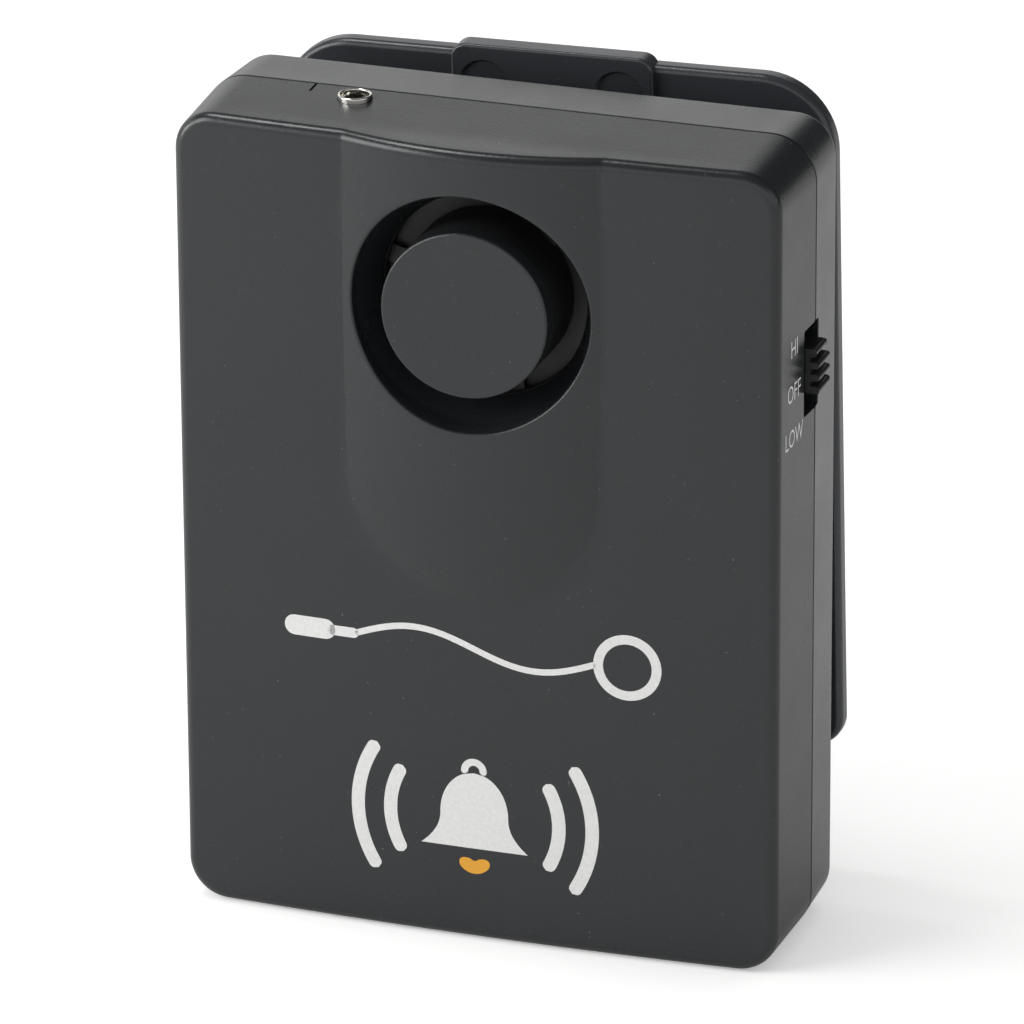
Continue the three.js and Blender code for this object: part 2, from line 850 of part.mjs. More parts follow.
function sounderLead(x) {
  const startY = ledgeY + leadRadius;
  const foot = sounderZ - housingRadius;
  const endY = boardFrontY - clearance;
  return wire([
    [x, startY, sounderZ - leadWayHalf],
    [x, startY, foot + leadWayHalf],
    [x, startY + clearance, foot],
    [x, (startY + endY) / 2, foot - sounderLeadDrop * 0.6],
    [x, endY - 3 * clearance, foot - sounderLeadDrop * 0.9],
    [x, endY, foot - sounderLeadDrop],
  ], leadRadius, 14);
}

// Circuit board

function circuitBoard() {
  const shoulderZ = screwHighZ - rearBossRadius - clearance;
  const half = innerX - boardInset;
  const narrow = screwX - rearBossRadius - 2 * clearance;
  const shape = new THREE.Shape([
    [-half, boardFootZ], [half, boardFootZ], [half, shoulderZ], [narrow, shoulderZ],
    [narrow, boardTopZ], [-narrow, boardTopZ], [-narrow, shoulderZ], [-half, shoulderZ],
  ].map((p) => new THREE.Vector2(...p)));
  let board = plate(shape, boardFrontY, boardBackY);
  for (const [x, z] of boardScrewPlaces) {
    board = board.subtract(
      turnedAlongY(rod(shankHoleRadius, boardFrontY - 1, boardBackY + 1), x, z),
    );
  }
  return board;
}

// A screw along Y. Its head's outer face is at headY, and its shank runs toward tipY.
function screw(x, z, headY, tipY) {
  const toward = Math.sign(tipY - headY);
  const seatY = headY + toward * screwHeadHeight;
  let body = turnedAlongY(rod(screwHeadRadius, Math.min(headY, seatY), Math.max(headY, seatY)), x, z);
  const shankFrom = Math.min(seatY - toward * 0.5, tipY);
  const shankTo = Math.max(seatY - toward * 0.5, tipY);
  body = body.add(turnedAlongY(rod(screwShankRadius, shankFrom, shankTo), x, z, 12));
  const depth = screwHeadHeight / 2;
  const long = screwHeadRadius * 0.6;
  const thin = screwRecess / 2;
  for (const [dx, dz] of [[long, thin], [thin, long]]) {
    const inY = headY + toward * depth;
    const outY = headY - toward;
    body = body.subtract(block(
      [x - dx, Math.min(inY, outY), z - dz],
      [x + dx, Math.max(inY, outY), z + dz],
    ));
  }
  return body;
}

const seatOnBoardY = boardFrontY - clearance;

function alarmChip(x, z) {
  let chip = block(
    [x - chipLength / 2, seatOnBoardY - chipHeight, z - chipWidth / 2],
    [x + chipLength / 2, seatOnBoardY - chipStandoff, z + chipWidth / 2],
  );
  for (let k = 0; k < legCount; k += 1) {
    const legX = x + (k - (legCount - 1) / 2) * legPitch;
    const leg = block(
      [legX - legWidth / 2, seatOnBoardY - chipHeight / 2, z - chipWidth / 2 - legReach],
      [legX + legWidth / 2, seatOnBoardY, z + chipWidth / 2 + legReach],
    );
    chip = chip.add(leg);
  }
  return chip;
}

function boostCoil(x, z) {
  const top = seatOnBoardY - coilHeight;
  const neck = coilRadius * 0.78;
  return turnedAlongY([
    [0, top], [coilRadius, top], [coilRadius, top + coilFlange],
    [neck, top + coilFlange], [neck, seatOnBoardY - coilFlange],
    [coilRadius, seatOnBoardY - coilFlange], [coilRadius, seatOnBoardY], [0, seatOnBoardY],
  ], x, z);
}

function capacitor(x, z) {
  const top = seatOnBoardY - canHeight;
  const grooveY = seatOnBoardY - canHeight / 6;
  return turnedAlongY([
    [0, top], [canRadius - canGroove, top], [canRadius, top + canGroove],
    [canRadius, grooveY - canGroove], [canRadius - canGroove, grooveY],
    [canRadius, grooveY + canGroove], [canRadius, seatOnBoardY], [0, seatOnBoardY],
  ], x, z);
}

function transistor(x, z) {
  const shape = new THREE.Shape();
  shape.absarc(x, z, transistorRadius, -0.2 * Math.PI, 1.2 * Math.PI);
  return plate(shape, seatOnBoardY - transistorHeight, seatOnBoardY);
}

// A resistor lying on the board, its wire ends bent down to it
function resistor(x, z) {
  const y = seatOnBoardY - resistorRadius;
  const waist = resistorRadius * 0.8;
  const half = resistorLength / 2;
  const thin = resistorWireRadius;
  let body = turnedAlongZ([
    [0, z - half], [resistorRadius, z - half], [resistorRadius, z - half / 2],
    [waist, z - half / 3], [waist, z + half / 3], [resistorRadius, z + half / 2],
    [resistorRadius, z + half], [0, z + half],
  ], x, y, 12);
  for (const side of [-1, 1]) {
    const middleZ = z + side * (half + resistorWireReach / 2 - thin / 2);
    const reach = resistorWireReach / 2 + thin / 2;
    const footZ = z + side * (half + resistorWireReach - thin);
    body = body.add(block(
      [x - thin, y - thin, middleZ - reach],
      [x + thin, y + thin, middleZ + reach],
    ));
    body = body.add(block([x - thin, y - thin, footZ - thin], [x + thin, seatOnBoardY, footZ + thin]));
  }
  return body;
}

// Slide switch

const switchOuterX = innerX - 3 * clearance;
const switchY = seatOnBoardY - switchBodyWidth / 2;

function switchBody() {
  const body = block(
    [switchOuterX - switchBodyWidth, seatOnBoardY - switchBodyWidth, switchZ - switchLength / 2],
    [switchOuterX, seatOnBoardY, switchZ + switchLength / 2],
  );
  const stemWay = knobHeight / 4 + knobTravel + knobLift + clearance;
  const halfWay = stemWidth / 2 + clearance;
  return body.subtract(block(
    [switchOuterX - stemReach - clearance, switchY - halfWay, switchZ - stemWay],
    [switchOuterX + 1, switchY + halfWay, switchZ + stemWay],
  ));
}

// The knob: a stem in the switch, a shoulder in the slot and cross ribs for a finger nail
function switchKnob() {
  const outer = halfWidth + knobReach;
  const root = outer - knobRibDepth;
  const base = switchOuterX + clearance;
  const half = knobHeight / 2;
  const middleY = (slotFront + slotBack) / 2 - clearance / 2;
  let knob = block(
    [base, middleY - knobWidth / 2, knobZ - half],
    [root, middleY + knobWidth / 2, knobZ + half],
  );
  const ribs = Math.floor((knobHeight - knobRibWidth) / knobRibPitch) + 1;
  for (let k = 0; k < ribs; k += 1) {
    const low = knobZ - half + k * knobRibPitch;
    knob = knob.add(block(
      [root - 0.1, middleY - knobWidth / 2, low],
      [outer, middleY + knobWidth / 2, low + knobRibWidth],
    ));
  }
  return knob.add(block(
    [switchOuterX - stemReach, switchY - stemWidth / 2, knobZ - knobHeight / 4],
    [base + 0.1, switchY + stemWidth / 2, knobZ + knobHeight / 4],
  ));
}

// Pin jack

const jackTopZ = caseHeight + jackProud;
const jackSeatZ = jackTopZ - jackSleeveLength;
const jackBodyTopZ = innerTopZ - frontDraft - clearance;
const jackBodyFootZ = jackBodyTopZ - jackBodyHeight;

function jackSleeve() {
  const edge = 0.2;
  return turnedAlongZ([
    [jackBoreRadius, jackSeatZ],
    [jackOuterRadius, jackSeatZ],
    [jackOuterRadius, jackTopZ - edge],
    [jackOuterRadius - edge, jackTopZ],
    [jackBoreRadius, jackTopZ],
    [jackBoreRadius, jackSeatZ],
  ], jackX, jackY, 32);
}

function jackBody() {
  const half = jackBodyWidth / 2;
  const body = block(
    [jackX - half, jackY - half, jackBodyFootZ],
    [jackX + half, seatOnBoardY, jackBodyTopZ],
  );
  const counterbore = rod(jackOuterRadius + clearance, jackSeatZ - clearance, jackBodyTopZ + 1);
  const bore = rod(jackBoreRadius, jackBodyFootZ + jackBodyFloor, jackSeatZ);
  return body
    .subtract(turnedAlongZ(counterbore, jackX, jackY))
    .subtract(turnedAlongZ(bore, jackX, jackY));
}

// The spring strip that feels the pin, on the jack's left side, with a foot on the board
function jackContact() {
  const right = jackX - jackBodyWidth / 2 - clearance;
  const left = right - contactThickness;
  const lowZ = jackBodyFootZ + contactWidth / 2;
  const strip = block(
    [left, jackY - contactWidth / 2, lowZ],
    [right, jackY + contactWidth / 2, jackBodyTopZ - contactWidth],
  );
  const foot = block([left, jackY, lowZ], [right, seatOnBoardY, lowZ + contactWidth]);
  return strip.add(foot);
}

// Clip

// The plate sits slightly turned on its pin, by the hinge's play
function askew(body) {
  const geometry = geometryOf(body);
  geometry.translate(0, 0, -hingeZ);
  geometry.rotateY(-clipSkew);
  geometry.translate(clipShift, 0, hingeZ);
  return solid(geometry);
}

// The plate, the thumb tab across the middle of its top, the jaw at its foot and its two ears
function clipPlate() {
  const outline = roundedShape(
    -clipHalfWidth, clipHalfWidth, clipFoot, clipTopZ, clipFootRadius, clipTopRadius,
  );
  const tabTopZ = clipTopZ + tabRise;
  const tabFrontY = clipFrontY - tabProud;
  const tab = roundedShape(
    -tabHalfWidth, tabHalfWidth, tabTopZ - tabHeight, tabTopZ, tabRadius, tabRadius,
  );
  let clip = plate(outline, clipFrontY, clipBackY, clipEdgeRadius);
  clip = clip.add(plate(tab, tabFrontY, clipBackY - clipEdgeRadius, tabEdgeRadius));
  for (const side of [-1, 1]) {
    const dimple = rod(dimpleRadius, tabFrontY - 1, tabFrontY + dimpleDepth);
    const z = tabTopZ - dimpleRadius - tabRadius;
    clip = clip.subtract(turnedAlongY(dimple, (side * dimpleSpacing) / 2, z));
  }
  const jawTipY = backY + clearance;
  clip = clip.add(block(
    [-jawHalfWidth, jawTipY + toothDepth, clipFoot + clipFootRadius],
    [jawHalfWidth, clipFrontY + clipThickness / 2, clipFoot + clipFootRadius + jawHeight],
  ));
  for (const share of [1 / 6, 5 / 6]) {
    const z = clipFoot + clipFootRadius + jawHeight * share;
    clip = clip.add(block(
      [-jawHalfWidth, jawTipY, z - jawHeight / 6],
      [jawHalfWidth, jawTipY + toothDepth + 0.1, z + jawHeight / 6],
    ));
  }
  clip = askew(clip);
  const near = lugHalfSpan + lugThickness + clipEarGap;
  const base = clipFrontY + clipThickness / 2;
  clip = clip.add(ear(-near - lugThickness, -near, base)).add(ear(near, near + lugThickness, base));
  return clip.subtract(pinHole());
}

function hingePin() {
  const reach = lugHalfSpan + 2 * lugThickness + clipEarGap + pinEnd;
  return turnedAlongX(rod(hingePinRadius, -reach, reach), hingeY, hingeZ, 24);
}

// A torsion spring round the pin: one leg up the case's back, one up the plate's front
function clipSpring() {
  const route = [];
  const half = lugHalfSpan - springWire - clearance;
  const startAngle = Math.PI;
  const endAngle = springTurns * 2 * Math.PI;
  const backLegY = backY + clearance + springWire;
  const coilFrontY = hingeY - springRadius;
  for (let k = 3; k > 0; k -= 1) {
    const share = k / 3;
    route.push([-half, coilFrontY + share * (backLegY - coilFrontY), hingeZ + share * springLeg]);
  }
  const steps = springTurns * 10;
  for (let k = 0; k <= steps; k += 1) {
    const angle = startAngle + (k / steps) * (endAngle - startAngle);
    route.push([
      -half + (k / steps) * 2 * half,
      hingeY + springRadius * Math.cos(angle),
      hingeZ + springRadius * Math.sin(angle),
    ]);
  }
  for (let k = 1; k <= 3; k += 1) {
    route.push([half, hingeY + springRadius, hingeZ + (k / 3) * springLeg]);
  }
  return wire(route, springWire, route.length + 10, 6);
}

// The object

add('front_shell', frontShell(), charcoal);
add('rear_shell', rearShell(), charcoal);
add('battery_door', batteryDoor(), charcoal);
add('battery', battery(), batterySkin);
add('battery_snap', batterySnap(), black);
const leadEndX = screwX - leadEndInset;
add('battery_lead_red', batteryLead(batteryY - leadSpread, leadEndX), redVinyl);
add('battery_lead_black', batteryLead(batteryY + leadSpread, leadEndX + leadPitch), blackVinyl);
add('sounder_cap', sounderCap(), charcoal);
add('sounder_housing', sounderHousing(), black);
add('horn_plate', hornPlate(), black);
add('piezo_disc', piezoDisc(), brass);
add('sounder_lead_red', sounderLead(-sounderLeadSpread), redVinyl);
add('sounder_lead_black', sounderLead(sounderLeadSpread), blackVinyl);
add('circuit_board', circuitBoard(), phenolic);
const middleRowZ = boardFootZ + middleRowRise;
const lowRowZ = boardFootZ + lowRowRise;
add('alarm_chip', alarmChip(chipX, middleRowZ), black);
add('boost_coil', boostCoil(coilX, middleRowZ), ferrite);
add('capacitor', capacitor(boardInset + canInset - innerX, middleRowZ + canRadius), black);
add('transistor', transistor(transistorX, lowRowZ), black);
for (let k = 0; k < resistorCount; k += 1) {
  const name = `resistor_${k + 1}`;
  add(name, resistor(resistorX + k * resistorPitch, lowRowZ), resistorBody);
}
add('switch_body', switchBody(), steel);
add('switch_knob', switchKnob(), black);
add('jack_body', jackBody(), black);
add('jack_sleeve', jackSleeve(), nickel);
add('jack_contact', jackContact(), brass);
screwPlaces.forEach(([x, z], k) => {
  add(`case_screw_${k + 1}`, screw(x, z, backY - screwSink, seamY - screwBite), steel);
});
boardScrewPlaces.forEach(([x, z], k) => {
  const headY = seatOnBoardY - screwHeadHeight;
  add(`board_screw_${k + 1}`, screw(x, z, headY, innerBackY - 3 * clearance), steel);
});
add('clip_plate', clipPlate(), charcoal);
add('hinge_pin', hingePin(), steel);
add('clip_spring', clipSpring(), springSteel);

export default alarm;
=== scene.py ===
"""Looks of the emergency pull cord alarm: a hand-sized case of moulded plastic with a siren
behind its round opening, a pin jack on top, a slide switch at the side and a sprung clip at
the back. Lengths are in millimetres until a mesh is made, which is in metres.
"""

import math

import bmesh
import bpy
import numpy as np
from mathutils import Matrix, Vector


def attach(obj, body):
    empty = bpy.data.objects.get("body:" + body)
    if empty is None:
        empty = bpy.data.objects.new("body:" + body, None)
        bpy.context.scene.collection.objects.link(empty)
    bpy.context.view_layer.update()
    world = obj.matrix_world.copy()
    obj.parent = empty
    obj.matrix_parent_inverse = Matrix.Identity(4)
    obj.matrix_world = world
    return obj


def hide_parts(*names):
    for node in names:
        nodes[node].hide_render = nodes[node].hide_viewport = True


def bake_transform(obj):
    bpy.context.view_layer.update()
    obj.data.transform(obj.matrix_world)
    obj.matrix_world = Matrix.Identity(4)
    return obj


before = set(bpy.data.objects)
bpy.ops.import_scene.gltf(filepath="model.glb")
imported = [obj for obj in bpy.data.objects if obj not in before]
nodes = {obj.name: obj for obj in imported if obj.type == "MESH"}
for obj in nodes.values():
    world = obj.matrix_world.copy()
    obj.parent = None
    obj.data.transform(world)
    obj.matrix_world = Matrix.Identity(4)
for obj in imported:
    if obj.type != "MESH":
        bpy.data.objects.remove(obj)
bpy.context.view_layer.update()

MM = 0.001

# Case
HALF = 38.0
TOP = 102.0
CORNER = 5.5
WALL = 1.8
FRONT_Y = -11.22
BACK_Y = 11.19
FRONT_RIM_Y = 1.22
REAR_RIM_Y = 1.46
FRONT_DRAFT = 0.55
REAR_DRAFT = 0.47
FRONT_EDGE = 1.3
BACK_EDGE = 0.8
RIM_EDGE = 0.1
CROWN = 1.3
BAND_HALF = 16.0
BAND_RISE = 2.4
BAND_END_Z = 59.4

# Siren opening
SIREN_Z = 81.2
SIREN_R = 14.7
THROAT_R = 12.7
THROAT_Y = -7.32
CONE_Y = -11.62
COLLAR = 1.5
SIREN_EDGE = 0.35
PLUG_R = 10.3
PLUG_Y = -15.02
PLUG_EDGE = 0.35
PLUG_WALL = 1.4
RING_FRONT_Y = -6.72
RING_BACK_Y = -5.12
SKIRT_Y = -12.6
SKIRT_R = 10.28
RING_OUTER = 13.7
DISH_R = 4.0
DISH_END_R = 8.6
DISH_DEPTH = 0.05
SPOKE_HALF = 1.2
SPOKE_Y = -5.72
SPOKE_ROOT = 0.7
SPOKE_REACH = 0.4
POLE_R = 0.05

# Slide switch
SLOT_Z = 73.85
SLOT_HALF = 5.45
SLOT_FRONT_Y = -2.45
SLOT_BACK_Y = 2.70
SLOT_CORNER = 0.45

# Pin jack
JACK_X = -17.9
JACK_Y = -1.9
JACK_HOLE_R = 2.12
SLIT_LEFT_X = -24.0
SLIT_RIGHT_X = -23.66
SLIT_Y = -1.1
SLEEVE_TOP = 102.45
SLEEVE_FOOT = 95.45
SLEEVE_R = 2.05
SLEEVE_ROLL = 0.17
BORE_R = 1.4
BORE_STEP = 1.3

# Screws, door and hinge
SCREW_X = 32.0
SCREW_Z = (6.3, 95.7)
HEAD_R = 2.4
HEAD_Y = 10.69
HEAD_DEPTH = 1.5
DOOR_HALF = 25.9
DOOR_TOP = 29.7
DOOR_INNER_Y = 8.29
DOOR_CUT_Y = 8.39
TONGUE_REACH = 1.3
TONGUE_TOP = 2.9
GAP = 0.3
HINGE_Y = 15.39
HINGE_Z = 72.0
EAR_R = 2.7
PIN_HOLE_R = 1.35
CASE_EARS = (7.8, 10.2)
CLIP_EARS = (10.6, 13.0)
EAR_ROOT = 0.9
ROOM_LOW = (-36.4, -6, 1.6)
ROOM_HIGH = (36.4, 9.5, 100.4)

# Clip
CLIP_HALF = 34.9
CLIP_FOOT = 16.2
CLIP_TOP = 101.9
CLIP_TOP_R = 9.2
CLIP_FOOT_R = 3.6
CLIP_FRONT_Y = 18.79
CLIP_BACK_Y = 21.79
CLIP_EDGE = 0.9
CLIP_SKEW = math.radians(1.2)
CLIP_SHIFT = 0.4
TAB_HALF = 12.7
TAB_FOOT = 88.0
TAB_TOP = 103.0
TAB_FRONT_Y = 17.79
TAB_BACK_Y = 20.89
TAB_R = 1.8
DIMPLE_R = 3.2
DIMPLE_DEPTH = 0.4
DIMPLE_X = 8.5
DIMPLE_Z = 98.0
DIMPLE_SLOPE = 0.3
CLIP_EAR_ROOT_Y = 20.29
JAW_HALF = 20.0
JAW_FRONT_Y = 12.29
JAW_BACK_Y = 20.2
JAW_FOOT = 19.8
JAW_TOP = 22.8
TOOTH_Y = 11.49
TOOTH_Z = (20.3, 22.3)

# Prints
CORD_Z = 38.0
BELL_Z = 16.0
BELL_SCALE = 1.3
LABEL_Y = -5.9
LABEL_SIZE = 2.4
LABELS = (("HI", 78.4), ("OFF", 72.9), ("LOW", 67.25))


# Shapes on grids

def grid(points, ring=False, caps=False):
    """Quads over rows of points. Each row is closed on itself. With ring, the last row joins
    the first one; with caps, the first and last rows are each closed by one flat face."""
    points = np.asarray(points, float)
    rows, columns = points.shape[:2]
    index = np.arange(rows * columns).reshape(rows, columns)
    near = index if ring else index[:-1]
    far = np.roll(index, -1, 0)[: len(near)]
    quads = np.stack([near, np.roll(near, -1, 1), np.roll(far, -1, 1), far], -1)
    faces = quads.reshape(-1, 4).tolist()
    if caps:
        faces += [index[0][::-1].tolist(), index[-1].tolist()]
    return outward(points.reshape(-1, 3), faces)


def outward(points, faces):
    """Turns all faces round where the volume that they enclose comes out negative: the sum
    over each face's fan of triangles of a . (b x c) / 6."""
    volume = 0.0
    middle = points.mean(0)
    for size in {len(face) for face in faces}:
        group = np.array([face for face in faces if len(face) == size])
        corners = points[group] - middle
        for k in range(1, size - 1):
            normal = np.cross(corners[:, k], corners[:, k + 1])
            volume += np.einsum("ij,ij->", corners[:, 0], normal) / 6
    if volume < 0:
        faces = [face[::-1] for face in faces]
    return points, faces


def together(*parts):
    """One list of points and faces from several."""
    points, faces, start = [], [], 0
    for part_points, part_faces in parts:
        points.append(part_points)
        faces += [[k + start for k in face] for face in part_faces]
        start += len(part_points)
    return np.concatenate(points), faces


def mesh_of(name, part):
    points, faces = part
    mesh = bpy.data.meshes.new(name)
    mesh.from_pydata(np.round(points * MM, 8), [], faces)
    mesh.update()
    return mesh


def object_of(name, mesh):
    thing = bpy.data.objects.new(name, mesh)
    bpy.context.scene.collection.objects.link(thing)
    return thing


def smooth(thing, degrees=35):
    mesh = thing.data
    mesh.polygons.foreach_set("use_smooth", np.ones(len(mesh.polygons), bool))
    mesh.set_sharp_from_angle(angle=math.radians(degrees))
    modifier = thing.modifiers.new("weighted", "WEIGHTED_NORMAL")
    modifier.keep_sharp = True
    return thing


def finish_piece(thing, material, body, slot, *replaced):
    thing.data.materials.clear()
    thing.data.materials.append(material)
    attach(thing, body)
    if replaced:
        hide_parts(*replaced)
    return thing


def evaluated_mesh(thing):
    """The mesh that an object's modifiers give, as a new mesh."""
    depsgraph = bpy.context.evaluated_depsgraph_get()
    return bpy.data.meshes.new_from_object(thing.evaluated_get(depsgraph))


def combined(mesh, others, operation):
    """A mesh cut by, or kept within, other closed meshes, by Blender's exact boolean."""
    base = object_of("base", mesh)
    tools = [object_of("tool", other) for other in others]
    for tool in tools:
        modifier = base.modifiers.new("cut", "BOOLEAN")
        modifier.operation = operation
        modifier.solver = "EXACT"
        modifier.object = tool
    result = evaluated_mesh(base)
    for thing in [base, *tools]:
        bpy.data.objects.remove(thing)
    return result


def merged_copy(name):
    """A CAD node's mesh with its loose triangles joined into a closed body."""
    mesh = nodes[name].data.copy()
    body = bmesh.new()
    body.from_mesh(mesh)
    bmesh.ops.remove_doubles(body, verts=body.verts, dist=1e-6)
    body.to_mesh(mesh)
    body.free()
    return mesh


def add_part(mesh, part):
    """Joins a list of points and faces onto a mesh."""
    body = bmesh.new()
    body.from_mesh(mesh)
    extra = mesh_of("extra", part)
    body.from_mesh(extra)
    body.to_mesh(mesh)
    body.free()
    bpy.data.meshes.remove(extra)
    return mesh


def spun_y(profile, x, z, count=96):
    """A body turned about an axis along Y: each [radius, y] of the profile goes round a
    circle at (x + r cos a, y, z + r sin a). The profile's first and last points are its
    flat ends."""
    angle = np.linspace(0, 2 * np.pi, count, endpoint=False)
    profile = np.array(profile)
    radius, y = profile[:, :1], profile[:, 1:]
    rows = np.stack([x + radius * np.cos(angle), y + 0 * angle, z + radius * np.sin(angle)], -1)
    return rows


def spun_z(profile, x, y, count=96):
    """The same about an axis along Z, from [radius, z] points."""
    angle = np.linspace(0, 2 * np.pi, count, endpoint=False)
    profile = np.array(profile)
    radius, z = profile[:, :1], profile[:, 1:]
    return np.stack([x + radius * np.cos(angle), y + radius * np.sin(angle), z + 0 * angle], -1)


def quarter(centre, radius, start, end, steps=6):
    """Points of an arc in a profile, from one angle in degrees to another."""
    angle = np.radians(np.linspace(start, end, steps + 1))
    return [[centre[0] + radius * math.cos(a), centre[1] + radius * math.sin(a)] for a in angle]


# Case surfaces

def relief(x, z):
    """How far the front stands out beyond its edges: the crown, 1 - (x / half width)^2, and
    the band on it, 1 - (offset / 16)^2, whose offset is |x| above the band's round end and
    the distance from that end's centre below it."""
    offset = np.where(z > BAND_END_Z, np.abs(x), np.hypot(x, z - BAND_END_Z))
    share = np.minimum(offset / BAND_HALF, 1)
    return CROWN * (1 - (x / HALF) ** 2) + BAND_RISE * (1 - share**2)


def front_face_y(x, z):
    return FRONT_Y - relief(x, z)


def corner_columns(middle_x, middle_z, start, low, steps=14):
    angle = np.radians(start + np.linspace(0, 90, steps + 1))
    one = np.ones_like(angle)
    return [middle_x * one, middle_z * one, np.cos(angle), np.sin(angle), low * one]


def side_columns(x, z, direction, low):
    one = np.ones(np.broadcast(x, z).shape)
    return [x * one, z * one, direction[0] * one, direction[1] * one, low * one]


def dense(start, end, step, extra=()):
    """Even places from start to end, the ends left out, with extra ones in between."""
    count = max(int(round(abs(end - start) / step)), 1)
    places = np.linspace(start, end, count + 1)[1:-1]
    inside = [v for v in extra if min(start, end) < v < max(start, end)]
    return np.sort(np.concatenate([places, inside]))


def case_columns():
    """Columns round the case outline, counter-clockwise from the lower left corner as seen
    from the front. Each has the centre of its corner, or its place on a side, the outward
    direction there, and whether it belongs to the foot. They stand close together at the
    edges of the switch slot, at the band's two sides and at the slit beside the jack."""
    reach, low, high = HALF - CORNER, CORNER, TOP - CORNER
    slot_edges = []
    for sign in (-1, 1):
        for inward in (-0.5, -0.35, -0.22, -0.1, -0.03, 0, 0.03, 0.06, 0.12, 0.2, 0.3, 0.4, 0.46):
            slot_edges.append(SLOT_Z + sign * (SLOT_HALF - inward))
    side_z = np.concatenate([
        dense(low, 64, 1.3), [64], dense(64, 84, 0.8, slot_edges), [84], dense(84, high, 0.8),
    ])
    slit_edges = [x + shift for x in (SLIT_LEFT_X, SLIT_RIGHT_X) for shift in (-0.01, 0.01)]
    top_x = np.concatenate([
        dense(-reach, -24.4, 0.9), [-24.4], dense(-24.4, -23.2, 0.2, slit_edges), [-23.2],
        dense(-23.2, reach, 0.6, [-BAND_HALF, BAND_HALF]),
    ])
    columns = [
        side_columns(dense(-reach, reach, 1.2), low, (0, -1), 1),
        corner_columns(reach, low, -90, 1),
        side_columns(reach, side_z, (1, 0), 0),
        corner_columns(reach, high, 0, 0),
        side_columns(top_x[::-1], high, (0, 1), 0),
        corner_columns(-reach, high, 90, 0),
        side_columns(-reach, dense(low, high, 1.2)[::-1], (-1, 0), 0),
        corner_columns(-reach, low, 180, 1),
    ]
    return [np.concatenate(values) for values in zip(*columns)]


COLUMNS = case_columns()


def outline(inset, foot):
    """The outline's points for an inset: corner centre + outward direction * (corner radius
    - inset), where the foot has an inset of its own."""
    middle_x, middle_z, away_x, away_z, low = COLUMNS
    radius = CORNER - inset
    return middle_x + radius * away_x, middle_z + low * (foot - inset) + radius * away_z


def on_right_side():
    return (COLUMNS[2] > 0.999) & (COLUMNS[0] > 0)


def on_top():
    return COLUMNS[3] > 0.999


def slot_edge(rim_y, slot_y):
    """Depth of a shell's seam edge at the right-hand wall: the rim, let in to the slot's end
    with rounded corners, each a quarter of a circle over the distance from the slot's side."""
    _, z = outline(0, 0)
    into = SLOT_HALF - np.abs(z - SLOT_Z)
    toward = math.copysign(1, slot_y - rim_y)
    inner = np.sqrt(np.clip(SLOT_CORNER**2 - (SLOT_CORNER - into) ** 2, 0, None))
    depth = slot_y - toward * np.where(into < SLOT_CORNER, SLOT_CORNER - inner, 0)
    lip = SLOT_CORNER - 0.15
    outer = lip - np.sqrt(np.clip(lip**2 - (lip + into) ** 2, 0, None))
    edge = np.where(into >= 0, depth, rim_y + toward * np.where(into > -lip, outer, 0))
    return np.where(on_right_side(), edge, rim_y)


def front_seam_edge():
    """The front shell's edge at the seam: the rim, let in at the switch slot and at the
    narrow slit on top, beside the jack."""
    x, _ = outline(0, 0)
    edge = slot_edge(FRONT_RIM_Y, SLOT_FRONT_Y)
    slit = (x > SLIT_LEFT_X) & (x < SLIT_RIGHT_X)
    return np.where(on_top() & slit, SLIT_Y, edge)


def rear_seam_edge():
    """The rear shell's edge at the seam: the rim, let in at the switch slot."""
    return slot_edge(REAR_RIM_Y, SLOT_BACK_Y)


def row(x, y, z):
    return np.stack(np.broadcast_arrays(x, y, z), -1)


def front_wall_rows(edge_y, depth):
    """The outer side wall, from the face's rounding to the seam: the inset shrinks evenly
    from the draft to nothing, and the last step rounds the rim."""
    start_y = FRONT_Y + FRONT_EDGE
    rows = []
    x, z = outline(FRONT_DRAFT, 0)
    first_y = start_y - relief(x, z)
    for share in np.linspace(0, 1, depth + 1)[1:]:
        y = first_y + share * (edge_y - RIM_EDGE - first_y)
        inset = FRONT_DRAFT * np.clip((FRONT_RIM_Y - y) / (FRONT_RIM_Y - start_y), 0, 1)
        x, z = outline(inset, 0)
        rows.append(row(x, y, z))
    inset = FRONT_DRAFT * np.clip((FRONT_RIM_Y - edge_y) / (FRONT_RIM_Y - start_y), 0, 1)
    x, z = outline(inset + RIM_EDGE, RIM_EDGE)
    rows.append(row(x, edge_y, z))
    return rows


def crease_reach(direction_x, direction_z, limit):
    """Distance from the siren's centre to the band's edge along a ray: 16 / |dx| where that
    is above the round end, or else the far crossing of that end's circle."""
    straight = BAND_HALF / np.maximum(np.abs(direction_x), 1e-9)
    drop = SIREN_Z - BAND_END_Z
    along = -direction_z * drop
    root = along + np.sqrt(np.clip(along**2 - drop**2 + BAND_HALF**2, 0, None))
    below = SIREN_Z + straight * direction_z < BAND_END_Z
    reach = np.where(below, root, straight)
    return np.clip(reach, SIREN_R + SIREN_EDGE + 0.05, limit - 0.05)


